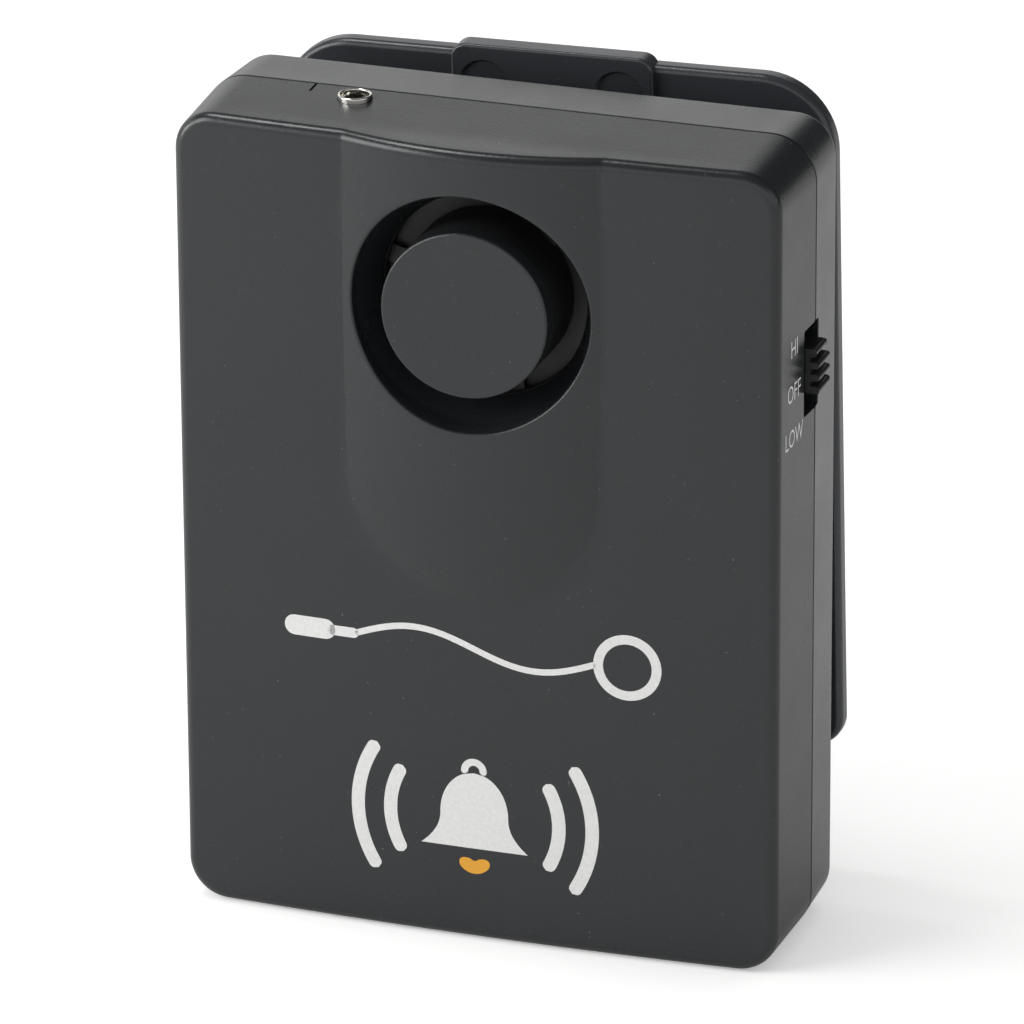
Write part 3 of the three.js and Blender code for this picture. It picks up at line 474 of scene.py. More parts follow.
def front_shell_part():
    """A closed ring-shaped grid. Its columns follow rays from the siren's centre to the
    outline. Its rows run up the throat, over the rim, across the face to the band's edge and
    the outline, round the edge, down the side wall to the seam and back along the inside."""
    edge_x, edge_z = outline(FRONT_DRAFT + FRONT_EDGE, FRONT_EDGE)
    reach = np.hypot(edge_x, edge_z - SIREN_Z)
    ray_x, ray_z = edge_x / reach, (edge_z - SIREN_Z) / reach

    def circle(radius):
        return radius * ray_x, SIREN_Z + radius * ray_z

    rows = []
    for share in np.linspace(0, 1, 12):
        x, z = circle(THROAT_R + share * (SIREN_R - THROAT_R))
        rows.append(row(x, THROAT_Y + share * (CONE_Y - THROAT_Y), z))
    x, z = circle(SIREN_R + SIREN_EDGE)
    lip_y = front_face_y(x, z)
    for share in (0.4, 0.75, 1):
        x, z = circle(SIREN_R)
        rows.append(row(x, CONE_Y + share * (lip_y + SIREN_EDGE - CONE_Y), z))
    for angle in np.radians(np.linspace(0, 90, 6))[1:]:
        x, z = circle(SIREN_R + SIREN_EDGE * (1 - math.cos(angle)))
        rows.append(row(x, lip_y + SIREN_EDGE * (1 - math.sin(angle)), z))
    crease = crease_reach(ray_x, ray_z, reach)
    start = SIREN_R + SIREN_EDGE
    for share in np.linspace(0, 1, 15)[1:]:
        x, z = circle(start + share * (crease - start))
        rows.append(row(x, front_face_y(x, z), z))
    for share in np.linspace(0, 1, 19)[1:]:
        x, z = circle(crease + share * (reach - crease))
        rows.append(row(x, front_face_y(x, z), z))
    for angle in np.radians(np.linspace(90, 0, 9))[1:]:
        pull = FRONT_EDGE * (1 - math.cos(angle))
        x, z = outline(FRONT_DRAFT + pull, pull)
        rows.append(row(x, front_face_y(x, z) + FRONT_EDGE * (1 - math.sin(angle)), z))
    edge_y = front_seam_edge()
    rows += front_wall_rows(edge_y, 10)
    inside_y = FRONT_Y + WALL
    for share in np.linspace(0, 1, 5):
        x, z = outline(WALL + share * FRONT_DRAFT, WALL)
        end_y = inside_y + FRONT_EDGE / 2 - relief(x, z)
        rows.append(row(x, edge_y + share * (end_y - edge_y), z))
    pull = FRONT_EDGE / 2
    x, z = outline(WALL + FRONT_DRAFT + pull, WALL + pull)
    rows.append(row(x, inside_y - relief(x, z), z))
    inner_reach = np.hypot(x, z - SIREN_Z)
    collar_r = SIREN_R + COLLAR
    for share in np.linspace(0, 1, 9)[1:]:
        x, z = circle(inner_reach + share * (collar_r - inner_reach))
        rows.append(row(x, inside_y - relief(x, z), z))
    x, z = circle(collar_r - 0.01)
    rows.append(row(x, CONE_Y, z))
    x, z = circle(THROAT_R + COLLAR)
    rows.append(row(x, THROAT_Y, z))
    return grid(np.array(rows), ring=True)


def rear_wall_inset(y):
    """Inset of the rear shell's wall, which grows evenly from the seam to the back edge."""
    return REAR_DRAFT * np.clip((y - REAR_RIM_Y) / (BACK_Y - BACK_EDGE - REAR_RIM_Y), 0, 1)


def rear_cup_part():
    """A closed cup: a flat back, a rounded edge, the side wall to the seam's edge, and the
    same again inside, one wall thickness in."""
    rows = []
    for angle in np.radians(np.linspace(90, 0, 8)):
        pull = BACK_EDGE * (1 - math.cos(angle))
        x, z = outline(REAR_DRAFT + pull, pull)
        rows.append(row(x, BACK_Y - BACK_EDGE * (1 - math.sin(angle)), z))
    edge_y = rear_seam_edge()
    start_y = BACK_Y - BACK_EDGE
    for share in np.linspace(0, 1, 9)[1:]:
        y = start_y + share * (edge_y + RIM_EDGE - start_y)
        x, z = outline(rear_wall_inset(y), 0)
        rows.append(row(x, y, z))
    x, z = outline(rear_wall_inset(edge_y) + RIM_EDGE, RIM_EDGE)
    rows.append(row(x, edge_y, z))
    inner_y = BACK_Y - WALL
    for share in np.linspace(0, 1, 5):
        x, z = outline(WALL + share * REAR_DRAFT, WALL)
        rows.append(row(x, edge_y + share * (inner_y - BACK_EDGE / 2 - edge_y), z))
    pull = BACK_EDGE / 2
    x, z = outline(WALL + REAR_DRAFT + pull, WALL + pull)
    rows.append(row(x, inner_y, z))
    return grid(np.array(rows), caps=True)


def rounded_outline(half_x, foot, top, foot_r, top_r, steps=10):
    """Centres and outward directions of a rectangle's four rounded corners, as a loop."""
    loop = []
    for sign, z, radius, start in (
        (1, foot + foot_r, foot_r, -90),
        (1, top - top_r, top_r, 0),
        (-1, top - top_r, top_r, 90),
        (-1, foot + foot_r, foot_r, 180),
    ):
        for angle in np.radians(start + np.linspace(0, 90, steps + 1)):
            loop.append([sign * (half_x - radius), z, math.cos(angle), math.sin(angle), radius])
    return np.array(loop)


def rounded_plate(loop, front_y, back_y, edge, steps=5):
    """A plate with rounded edges: its rows go from the flat front, round the front edge,
    along the side and round the back edge. Inset + depth follow a quarter of a circle."""
    rows = []
    for face_y, sign, sweep in ((front_y, 1, (90, 0)), (back_y, -1, (0, 90))):
        for angle in np.radians(np.linspace(*sweep, steps + 1)):
            reach = loop[:, 4] - edge * (1 - math.cos(angle))
            x = loop[:, 0] + reach * loop[:, 2]
            z = loop[:, 1] + reach * loop[:, 3]
            rows.append(row(x, face_y + sign * edge * (1 - math.sin(angle)), z))
    return grid(np.array(rows), caps=True)


def block(low, high, edge=0.0):
    """A box whose edges along Y are rounded by a radius, and whose ends are bevelled."""
    radius = max(edge, 0.02)
    half_x = (high[0] - low[0]) / 2
    loop = rounded_outline(half_x, low[2], high[2], radius, radius, steps=4)
    points, faces = rounded_plate(loop, low[1], high[1], radius, steps=3)
    return points + [(low[0] + high[0]) / 2, 0, 0], faces


def flared_block(half_x, from_y, to_y, foot, top, flare):
    """A cutter with upright sides that widens by a chamfer at its mouth, at the back face."""
    rows = []
    for y, grow in ((from_y, 0), (to_y - flare, 0), (to_y + flare, 2 * flare)):
        x = np.array([-half_x - grow, half_x + grow, half_x + grow, -half_x - grow])
        z = np.array([foot - grow, foot - grow, top + grow, top + grow])
        rows.append(row(x, y, z))
    return grid(np.array(rows), caps=True)


def hinge_ear(from_x, to_x, base_y, edge=0.25):
    """An ear round the hinge's axis: a ring whose outer side is round and runs straight to
    its base, and whose inner side is the pin's hole. Columns go round the axis."""
    toward = math.copysign(1, base_y - HINGE_Y)
    depth = abs(base_y - HINGE_Y)
    corner = math.degrees(math.atan2(EAR_R, depth))
    angle = np.concatenate([
        np.linspace(90, 270, 25), np.linspace(270, 360 - corner, 6)[1:],
        np.linspace(360 - corner, 360 + corner, 7)[1:], np.linspace(corner, 90, 6)[1:-1] + 360,
    ])
    away, up = np.cos(np.radians(angle)), np.sin(np.radians(angle))
    flat = np.where(away > 1e-9, depth / np.maximum(away, 1e-9), 1e9)
    side = EAR_R / np.maximum(np.abs(up), 1e-9)
    outer = np.where(away > 0, np.minimum(flat, side), EAR_R)
    rows = []
    profile = [(from_x, outer - edge), (from_x + edge, outer), (to_x - edge, outer)]
    profile += [(to_x, outer - edge), (to_x, PIN_HOLE_R + 0 * outer)]
    profile += [(from_x, PIN_HOLE_R + 0 * outer)]
    for x, radius in profile:
        rows.append(row(x, HINGE_Y + toward * radius * away, HINGE_Z + radius * up))
    return grid(np.array(rows), ring=True)


def ear_pair(inner, outer, base_y):
    return [hinge_ear(-outer, -inner, base_y), hinge_ear(inner, outer, base_y)]


def askew(part):
    """The clip's plate sits turned on its pin by the play of its hinge: a turn of 1.2
    degrees about the hinge's middle in the plate's own plane, and a small shift."""
    points, faces = part
    turned = points.copy()
    cos, sin = math.cos(CLIP_SKEW), math.sin(CLIP_SKEW)
    x, z = points[:, 0], points[:, 2] - HINGE_Z
    turned[:, 0] = cos * x - sin * z + CLIP_SHIFT
    turned[:, 2] = sin * x + cos * z + HINGE_Z
    return turned, faces


# Materials

def linear(colour):
    """A linear colour from an sRGB hex value such as 4a4b4d."""
    values = [int(colour[k : k + 2], 16) / 255 for k in (0, 2, 4)]
    flat = [v / 12.92 if v <= 0.04045 else ((v + 0.055) / 1.055) ** 2.4 for v in values]
    return (*flat, 1.0)


def put(tree, kind, inputs=None, **settings):
    """Adds a node with its settings. An input is a value, or the socket that feeds it."""
    made = tree.nodes.new(kind)
    for key, value in settings.items():
        setattr(made, key, value)
    for key, value in (inputs or {}).items():
        if isinstance(value, bpy.types.NodeSocket):
            tree.links.new(value, made.inputs[key])
        else:
            made.inputs[key].default_value = value
    return made


def new_material(name, **values):
    """A material with its shader's plain values set on the sockets; returns it with its
    tree, its shader and the object coordinates."""
    material = bpy.data.materials.new(name)
    material.use_nodes = True
    tree = material.node_tree
    shader = tree.nodes["Principled BSDF"]
    for key, value in values.items():
        shader.inputs[key.replace("_", " ")].default_value = value
    place = put(tree, "ShaderNodeTexCoord").outputs["Object"]
    return material, tree, shader, place


def per_metre(size_mm):
    """Noise scale at which one wave is about that many millimetres long."""
    return 1000 / size_mm


def moulded_texture(tree, shader, place, grain_mm, depth_mm, rough_low, rough_high):
    """Bump of a spark-eroded mould, and patches of slightly more and less gloss."""
    grain = put(tree, "ShaderNodeTexNoise", {
        "Vector": place, "Scale": per_metre(grain_mm), "Detail": 2.0, "Roughness": 0.6,
    })
    bump = put(tree, "ShaderNodeBump", {
        "Height": grain.outputs["Fac"], "Distance": depth_mm * MM, "Strength": 1.0,
    })
    tree.links.new(bump.outputs["Normal"], shader.inputs["Normal"])
    patches = put(tree, "ShaderNodeTexNoise", {
        "Vector": place, "Scale": per_metre(9), "Detail": 3.0,
    })
    gloss = put(tree, "ShaderNodeMapRange", {
        "Value": patches.outputs["Fac"], "From Min": 0.3, "From Max": 0.7,
        "To Min": rough_low, "To Max": rough_high,
    })
    tree.links.new(gloss.outputs["Result"], shader.inputs["Roughness"])
    return bump


def dusty_colour(tree, shader, place, dark, light, dust, amount):
    """A colour that drifts slightly, with sparse specks of dust: the peaks of a fine noise
    above a threshold."""
    drift = put(tree, "ShaderNodeTexNoise", {
        "Vector": place, "Scale": per_metre(14), "Detail": 4.0,
    })
    base = put(tree, "ShaderNodeMix", {
        "Factor": drift.outputs["Fac"], 6: linear(dark), 7: linear(light),
    }, data_type="RGBA")
    speck = put(tree, "ShaderNodeTexNoise", {
        "Vector": place, "Scale": per_metre(0.42), "Detail": 1.0,
    })
    chosen = put(tree, "ShaderNodeMapRange", {
        "Value": speck.outputs["Fac"], "From Min": 0.775, "From Max": 0.81,
        "To Min": 0.0, "To Max": amount,
    })
    mixed = put(tree, "ShaderNodeMix", {
        "Factor": chosen.outputs["Result"], 6: base.outputs[2], 7: linear(dust),
    }, data_type="RGBA")
    tree.links.new(mixed.outputs[2], shader.inputs["Base Color"])


def charcoal_abs(name, dark, light):
    """Moulded ABS, charcoal, with a fine spark-eroded texture of about 0.3 mm: satin, dark
    and slightly cool, with stray dust that a dark case always carries."""
    material, tree, shader, place = new_material(name, IOR=1.5)
    dusty_colour(tree, shader, place, dark, light, "8d9092", 0.3)
    moulded_texture(tree, shader, place, 0.32, 0.02, 0.25, 0.3)
    return material


def black_acetal():
    """Moulded acetal, black and a little waxy, as slide knobs are made of: smoother than the
    case, with worn, slightly shinier high spots."""
    material, tree, shader, place = new_material("black_acetal", IOR=1.48)
    dusty_colour(tree, shader, place, "141516", "1a1b1c", "6e7072", 0.15)
    moulded_texture(tree, shader, place, 0.5, 0.003, 0.3, 0.4)
    return material


def black_nylon():
    """Moulded black nylon of the inner parts: plain, fairly dull, faintly mottled. On the siren's
    skirt, spokes and ring it is painted shade for the deep groove round the plug.
    """
    material, tree, shader, place = new_material("black_nylon", IOR=1.52)
    dusty_colour(tree, shader, place, "121314", "191a1b", "5c5e60", 0.25)
    moulded_texture(tree, shader, place, 0.6, 0.006, 0.42, 0.58)
    return material


def bright_nickel():
    """Bright nickel plate on a turned sleeve: a white metal, almost a mirror, very slightly
    clouded."""
    material, tree, shader, place = new_material("bright_nickel", Metallic=1.0)
    clouding = put(tree, "ShaderNodeTexNoise", {
        "Vector": place, "Scale": per_metre(0.4), "Detail": 2.0,
    })
    tone = put(tree, "ShaderNodeMix", {
        "Factor": clouding.outputs["Fac"], 6: linear("dad8d2"), 7: linear("ebe9e4"),
    }, data_type="RGBA")
    tree.links.new(tone.outputs[2], shader.inputs["Base Color"])
    shader.inputs["Roughness"].default_value = 0.14
    return material


def metal(name, dark, light, grain_mm, rough_low, rough_high):
    """A plated or rolled metal, whose colour and gloss drift over a soft noise."""
    material, tree, shader, place = new_material(name, Metallic=1.0)
    drift = put(tree, "ShaderNodeTexNoise", {
        "Vector": place, "Scale": per_metre(grain_mm), "Detail": 4.0,
    })
    tone = put(tree, "ShaderNodeMix", {
        "Factor": drift.outputs["Fac"], 6: linear(dark), 7: linear(light),
    }, data_type="RGBA")
    tree.links.new(tone.outputs[2], shader.inputs["Base Color"])
    gloss = put(tree, "ShaderNodeMapRange", {
        "Value": drift.outputs["Fac"], "From Min": 0.3, "From Max": 0.7,
        "To Min": rough_low, "To Max": rough_high,
    })
    tree.links.new(gloss.outputs["Result"], shader.inputs["Roughness"])
    return material


def coated(name, dark, light, size_mm, roughness, ior=1.5):
    """A sheath, coat or board: two near tones in a soft noise, with one gloss."""
    material, tree, shader, place = new_material(name, Roughness=roughness, IOR=ior)
    drift = put(tree, "ShaderNodeTexNoise", {
        "Vector": place, "Scale": per_metre(size_mm), "Detail": 4.0,
    })
    tone = put(tree, "ShaderNodeMix", {
        "Factor": drift.outputs["Fac"], 6: linear(dark), 7: linear(light),
    }, data_type="RGBA")
    tree.links.new(tone.outputs[2], shader.inputs["Base Color"])
    return material


def white_ink():
    """Pad-printed white ink: matt, thin, very slightly uneven where the texture shows."""
    material, tree, shader, place = new_material("white_ink", Roughness=0.5, IOR=1.48)
    drift = put(tree, "ShaderNodeTexNoise", {
        "Vector": place, "Scale": per_metre(0.45), "Detail": 2.0,
    })
    tone = put(tree, "ShaderNodeMix", {
        "Factor": drift.outputs["Fac"], 6: linear("cfd0cf"), 7: linear("e6e6e4"),
    }, data_type="RGBA")
    tree.links.new(tone.outputs[2], shader.inputs["Base Color"])
    return material


def amber_ink():
    """Pad-printed amber ink, the one spot of colour."""
    return coated("amber_ink", "d79522", "e3a534", 0.45, 0.5)


ABS = charcoal_abs("charcoal_abs", "1f2123", "232527")
# The clip's copy of the charcoal ABS is lighter than the case's: painted light, standing in for
# the light its front face, behind the case, does not get.
CLIP_ABS_LIGHTENED_AS_PAINTED_LIGHT = charcoal_abs("charcoal_abs_lightened_for_clip_as_painted_light", "2e3033", "34363a")
ACETAL = black_acetal()
NYLON = black_nylon()
NICKEL = bright_nickel()
ZINC = metal("zinc_plated_steel", "9a9ca0", "b9bbbf", 1.2, 0.28, 0.42)
BLACKENED = metal("blackened_steel", "3a3a3c", "48494b", 1.0, 0.4, 0.55)
SPRING = metal("drawn_spring_wire", "7c7d82", "95969b", 0.8, 0.25, 0.4)
BRASS = metal("rolled_brass", "b88d3e", "cda456", 2.0, 0.25, 0.4)
BATTERY_SKIN = coated("lacquered_battery_jacket", "33475c", "3c5268", 12, 0.3)
PHENOLIC = coated("phenolic_board", "80602f", "93713e", 3, 0.55)
FERRITE = coated("sintered_ferrite", "343230", "423f3c", 1.0, 0.7)
RESISTOR = coated("dipped_resistor_coat", "c0a070", "cfb184", 2.0, 0.4)
RED_VINYL = coated("red_vinyl_sheath", "9c1a18", "ad2421", 3, 0.4)
BLACK_VINYL = coated("black_vinyl_sheath", "131416", "1c1d1f", 3, 0.42)
WHITE_INK = white_ink()
AMBER_INK = amber_ink()


# Pieces of the case

def make_front_shell():
    """The front shell, with the jack's hole bored through its top wall."""
    bore = grid(spun_z([[JACK_HOLE_R, 99], [JACK_HOLE_R, 103]], JACK_X, JACK_Y, 96), caps=True)
    whole = mesh_of("front_shell_skin", front_shell_part())
    skin = combined(whole, [mesh_of("bore", bore)], "DIFFERENCE")
    shell = object_of("front_shell_skin", skin)
    smooth(shell, 30)
    return finish_piece(shell, ABS, "case", "case_plastic", "front_shell")


def rear_cutters():
    """The door's opening with a chamfered mouth, the way of its tongues, and the four screw
    wells, each a turned profile of [radius, y]."""
    flare = 0.2
    cutters = [
        flared_block(DOOR_HALF + GAP, DOOR_CUT_Y, BACK_Y, -1, DOOR_TOP + GAP, flare),
        block([-DOOR_HALF - TONGUE_REACH - GAP, DOOR_INNER_Y - GAP, -1],
              [DOOR_HALF + TONGUE_REACH + GAP, BACK_Y - WALL, TONGUE_TOP]),
    ]
    well_r = HEAD_R + GAP
    for x in (-SCREW_X, SCREW_X):
        for z in SCREW_Z:
            profile = [[well_r, HEAD_Y - HEAD_DEPTH - GAP], [well_r, BACK_Y - flare]]
            profile += [[well_r + 2 * flare, BACK_Y + flare]]
            cutters.append(grid(spun_y(profile, x, z, 64), caps=True))
    return [mesh_of("cutter", part) for part in cutters]


def make_rear_shell():
    """The cup, cut for the door and screws, with the ribs, bosses and posts taken from the
    CAD node's inside, and the two ears that carry the hinge pin."""
    cup = combined(mesh_of("rear_cup", rear_cup_part()), rear_cutters(), "DIFFERENCE")
    room = block(ROOM_LOW, ROOM_HIGH)
    inside = combined(merged_copy("rear_shell"), [mesh_of("room", room)], "INTERSECT")
    body = bmesh.new()
    body.from_mesh(cup)
    body.from_mesh(inside)
    body.to_mesh(cup)
    body.free()
    add_part(cup, together(*ear_pair(*CASE_EARS, BACK_Y - EAR_ROOT)))
    shell = object_of("rear_shell_skin", cup)
    smooth(shell, 30)
    return finish_piece(shell, ABS, "case", "case_plastic", "rear_shell")


def spoke(angle):
    """A flat arm that stands up from the siren's middle, turned about it by an angle."""
    low = [-SPOKE_HALF, SPOKE_Y, PLUG_R - SPOKE_ROOT]
    points, faces = block(low, [SPOKE_HALF, RING_BACK_Y, THROAT_R + SPOKE_REACH], 0.1)
    x, z = points[:, 0], points[:, 2]
    turned = points.copy()
    turned[:, 0] = x * math.cos(angle) + z * math.sin(angle)
    turned[:, 2] = z * math.cos(angle) - x * math.sin(angle) + SIREN_Z
    return turned, faces


def make_siren_plug():
    """The plug: a turned cup with a faintly dished face and a rounded edge, on a skirt from which
    three low spokes run to the ring that holds it. Skirt, spokes and ring are black nylon,
    darker than the cap's plastic they belong to: painted shade in the deep groove."""
    dish_y = PLUG_Y + DISH_DEPTH
    face = [[POLE_R, dish_y], [DISH_R, dish_y], [DISH_END_R, dish_y - 0.6 * DISH_DEPTH]]
    edge_middle = (PLUG_R - PLUG_EDGE, PLUG_Y + PLUG_EDGE)
    face += quarter(edge_middle, PLUG_EDGE, -90, 0)
    inner = PLUG_R - PLUG_WALL
    profile = face + [[PLUG_R, SKIRT_Y], [inner, SKIRT_Y]]
    profile += [[inner, PLUG_Y + PLUG_WALL], [POLE_R, PLUG_Y + PLUG_WALL]]
    cup = grid(spun_y(profile, 0, SIREN_Z, 128), caps=True)
    skirt_profile = [[inner, SKIRT_Y], [SKIRT_R, SKIRT_Y]]
    skirt_profile += [[SKIRT_R, RING_BACK_Y], [inner, RING_BACK_Y]]
    skirt = grid(spun_y(skirt_profile, 0, SIREN_Z, 128), ring=True)
    ring_profile = [[THROAT_R, RING_FRONT_Y], [RING_OUTER, RING_FRONT_Y]]
    ring_profile += [[RING_OUTER, RING_BACK_Y], [THROAT_R, RING_BACK_Y]]
    ring = grid(spun_y(ring_profile, 0, SIREN_Z, 96), ring=True)
    spokes = [spoke(2 * math.pi * k / 3 + math.pi / 4) for k in range(3)]
    painted_shade_holder = object_of("siren_ring", mesh_of("siren_ring", together(skirt, ring, *spokes)))
    smooth(painted_shade_holder, 30)
    # Black nylon on the skirt, spokes and ring is painted shade: they stand in the deep groove,
    # which is dark with shade.
    finish_piece(painted_shade_holder, NYLON, "case", "black_plastic")
    plug = object_of("siren_plug", mesh_of("siren_plug", cup))
    smooth(plug, 30)
    return finish_piece(plug, ABS, "case", "case_plastic", "sounder_cap")


def make_jack_sleeve():
    """A turned sleeve: a straight outside, a rolled rim, and a bore that widens in one step
    near its mouth."""
    top, outer, roll = SLEEVE_TOP, SLEEVE_R, SLEEVE_ROLL
    profile = [[BORE_R, SLEEVE_FOOT], [outer, SLEEVE_FOOT], [outer, top - 0.6]]
    profile += quarter((outer - roll, top - roll), roll, 0, 180, 12)
    profile += [[outer - 2 * roll, top - BORE_STEP], [BORE_R, top - BORE_STEP - 0.05]]
    sleeve = grid(spun_z(profile, JACK_X, JACK_Y, 96), ring=True)
    piece = object_of("jack_ring", mesh_of("jack_ring", sleeve))
    smooth(piece, 40)
    return finish_piece(piece, NICKEL, "case", "nickel", "jack_sleeve")


def make_knob():
    """The knob's section across its ribs, run along Y: three round-topped ribs, a lower one
    at the top, and the stem's root. The section's ends are bevelled."""
    foot, top, base, root, crest = 71.4, 77.0, 35.6, 38.4, 39.6
    half_rib, pitch, lower = 0.425, 1.6, 0.35
    front_y, back_y, bevel, shrink = -2.18, 2.13, 0.08, 0.06
    section = [[base, foot]]
    for k in range(3):
        low = foot + pitch * k
        if k:
            section.append([root, low])
        middle = (crest - half_rib, low + half_rib)
        section += quarter(middle, half_rib, -90, 90, 8)
        section.append([root, low + 2 * half_rib])
    section.append([root, top - 2 * half_rib])
    section += quarter((crest - lower - half_rib, top - half_rib), half_rib, -90, 90, 8)
    section.append([base, top])
    section = np.array(section)
    inner = section.mean(0)
    rows = []
    ends = (front_y, front_y + bevel, back_y - bevel, back_y)
    for y, pull in zip(ends, (shrink, 0, 0, shrink)):
        points = section + (inner - section) * pull
        rows.append(row(points[:, 0], y, points[:, 1]))
    ribs = grid(np.array(rows), caps=True)
    stem = block([31.4, -0.9, 72.8], [base + 0.4, 0.9, 75.6], 0.1)
    knob = object_of("knob_skin", mesh_of("knob_skin", together(ribs, stem)))
    smooth(knob, 40)
    return finish_piece(knob, ACETAL, "switch_knob", "knob_plastic", "switch_knob")


def make_clip():
    """The clip: a plate with rounded edges, the thumb tab with its two shallow round spots,
    the jaw with its two teeth, and the two ears."""
    outline_loop = rounded_outline(CLIP_HALF, CLIP_FOOT, CLIP_TOP, CLIP_FOOT_R, CLIP_TOP_R, 16)
    plate = rounded_plate(outline_loop, CLIP_FRONT_Y, CLIP_BACK_Y, CLIP_EDGE, 7)
    tab_loop = rounded_outline(TAB_HALF, TAB_FOOT, TAB_TOP, TAB_R, TAB_R, 8)
    tab = rounded_plate(tab_loop, TAB_FRONT_Y, TAB_BACK_Y, 0.4, 4)
    dimples = []
    for side in (-1, 1):
        profile = [[DIMPLE_R + 0.5, TAB_FRONT_Y - 0.5], [DIMPLE_R, TAB_FRONT_Y]]
        profile += [[DIMPLE_R - DIMPLE_SLOPE, TAB_FRONT_Y + DIMPLE_DEPTH]]
        dimples.append(mesh_of("dimple", grid(spun_y(profile, side * DIMPLE_X, DIMPLE_Z, 64),
                                              caps=True)))
    tab_mesh = combined(mesh_of("tab", tab), dimples, "DIFFERENCE")
    points = np.empty(len(tab_mesh.vertices) * 3)
    tab_mesh.vertices.foreach_get("co", points)
    tab = (points.reshape(-1, 3) / MM, [list(face.vertices) for face in tab_mesh.polygons])
    jaw = block([-JAW_HALF, JAW_FRONT_Y, JAW_FOOT], [JAW_HALF, JAW_BACK_Y, JAW_TOP], 0.3)
    teeth = [block([-JAW_HALF, TOOTH_Y, z - 0.5], [JAW_HALF, JAW_FRONT_Y + 0.31, z + 0.5], 0.2)
             for z in TOOTH_Z]
    skewed = askew(together(plate, tab, jaw, *teeth))
    ears = ear_pair(*CLIP_EARS, CLIP_EAR_ROOT_Y)
    clip = object_of("clip_skin", mesh_of("clip_skin", together(skewed, *ears)))
    smooth(clip, 30)
    # The clip gets the lighter copy of the case's ABS: painted light for its front face in the
    # case's shade.
    return finish_piece(clip, CLIP_ABS_LIGHTENED_AS_PAINTED_LIGHT, "clip", "case_plastic", "clip_plate")


def make_clip_spring():
    """The torsion spring, the CAD node's wire joined and smoothed. Its front leg leans on the
    case and its rear leg on the clip, and its coils wind up between them."""
    mesh = merged_copy("clip_spring")
    mesh.materials.clear()
    mesh.materials.append(SPRING)
    mesh.polygons.foreach_set("use_smooth", np.ones(len(mesh.polygons), bool))
    mesh.set_sharp_from_angle(angle=math.radians(50))
    spring = object_of("spring_wire", mesh)
    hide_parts("clip_spring")
    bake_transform(spring)


def soften(name, material, width=0.12, segments=2, degrees=30):
    """A CAD node kept as it is: its loose triangles are joined and its edges rounded by
    modifiers, and it gets its material."""
    thing = nodes[name]
    thing.data.materials.clear()
    thing.data.materials.append(material)
    weld = thing.modifiers.new("weld", "WELD")
    weld.merge_threshold = 1e-6
    if width:
        bevel = thing.modifiers.new("edge", "BEVEL")
        bevel.width = width * MM
        bevel.segments = segments
        bevel.limit_method = "ANGLE"
        bevel.angle_limit = math.radians(degrees)
        bevel.harden_normals = False
    return thing


make_front_shell()
make_rear_shell()
make_siren_plug()
make_jack_sleeve()
make_knob()
make_clip()

soften("battery_door", ABS, 0.2)
soften("battery", BATTERY_SKIN, 0)
soften("battery_snap", NYLON, 0.1)
soften("battery_lead_red", RED_VINYL, 0)
soften("battery_lead_black", BLACK_VINYL, 0)
soften("sounder_lead_red", RED_VINYL, 0)
soften("sounder_lead_black", BLACK_VINYL, 0)
soften("sounder_housing", NYLON, 0)
soften("piezo_disc", BRASS, 0)
soften("horn_plate", NYLON, 0.1)
soften("circuit_board", PHENOLIC, 0)
soften("alarm_chip", NYLON, 0)
soften("boost_coil", FERRITE, 0)
soften("capacitor", BLACK_VINYL, 0)
soften("transistor", NYLON, 0)
for number in range(1, 5):
    soften(f"resistor_{number}", RESISTOR, 0)
    soften(f"case_screw_{number}", ZINC, 0)
for number in range(1, 4):
    soften(f"board_screw_{number}", ZINC, 0)
soften("switch_body", BLACKENED, 0.1)
soften("jack_body", NYLON, 0)
soften("jack_contact", BRASS, 0)
soften("hinge_pin", ZINC, 0.1)
make_clip_spring()


# Printed marks

def printed(name, parts, place, material):
    """Flat patches laid onto the case: place gives (x, y, z) for their two coordinates."""
    points, faces = together(*parts)
    mesh = mesh_of(name, (place(points[:, 0], points[:, 1]), faces))
    mark = object_of(name, mesh)
    mark.data.polygons.foreach_set("use_smooth", np.ones(len(mesh.polygons), bool))
    return finish_piece(mark, material, "case", "case_plastic")


def patch(left, right):
    """Quads between two lines of points of the same length, five across."""
    share = np.linspace(0, 1, 6)[None, :, None]
    points = left[:, None, :] * (1 - share) + right[:, None, :] * share
    rows, columns = points.shape[:2]
    index = np.arange(rows * columns).reshape(rows, columns)
    quads = np.stack([index[:-1, :-1], index[:-1, 1:], index[1:, 1:], index[1:, :-1]], -1)
    return points.reshape(-1, 2), quads.reshape(-1, 4).tolist()


def stroke(path, width):
    """A stroke along a path with round ends: left and right of the path by half the width,
    which falls to nothing over a half circle at each end."""
    path = np.asarray(path, float)
    step = np.gradient(path, axis=0)
    step /= np.linalg.norm(step, axis=1)[:, None]
    aside = np.stack([-step[:, 1], step[:, 0]], 1)
    length = np.concatenate([[0], np.cumsum(np.linalg.norm(np.diff(path, axis=0), axis=1))])
    from_end = np.minimum(length, length[-1] - length)
    half = width / 2
    near = np.clip(from_end / half, 0, 1)
    reach = half * np.sqrt(1 - (1 - near) ** 2)
    return patch(path + aside * reach[:, None], path - aside * reach[:, None])


def straight(start, end, width):
    """A straight stroke, whose points stand closer together over its round ends."""
    start, end = np.array(start, float), np.array(end, float)
    tip = 0.5 * width / np.linalg.norm(end - start)
    near = tip * (1 - np.cos(np.radians(np.linspace(0, 90, 9))))
    share = np.concatenate([near, np.linspace(tip, 1 - tip, 16)[1:-1], 1 - near[::-1]])[:, None]
    return stroke(start * (1 - share) + end * share, width)


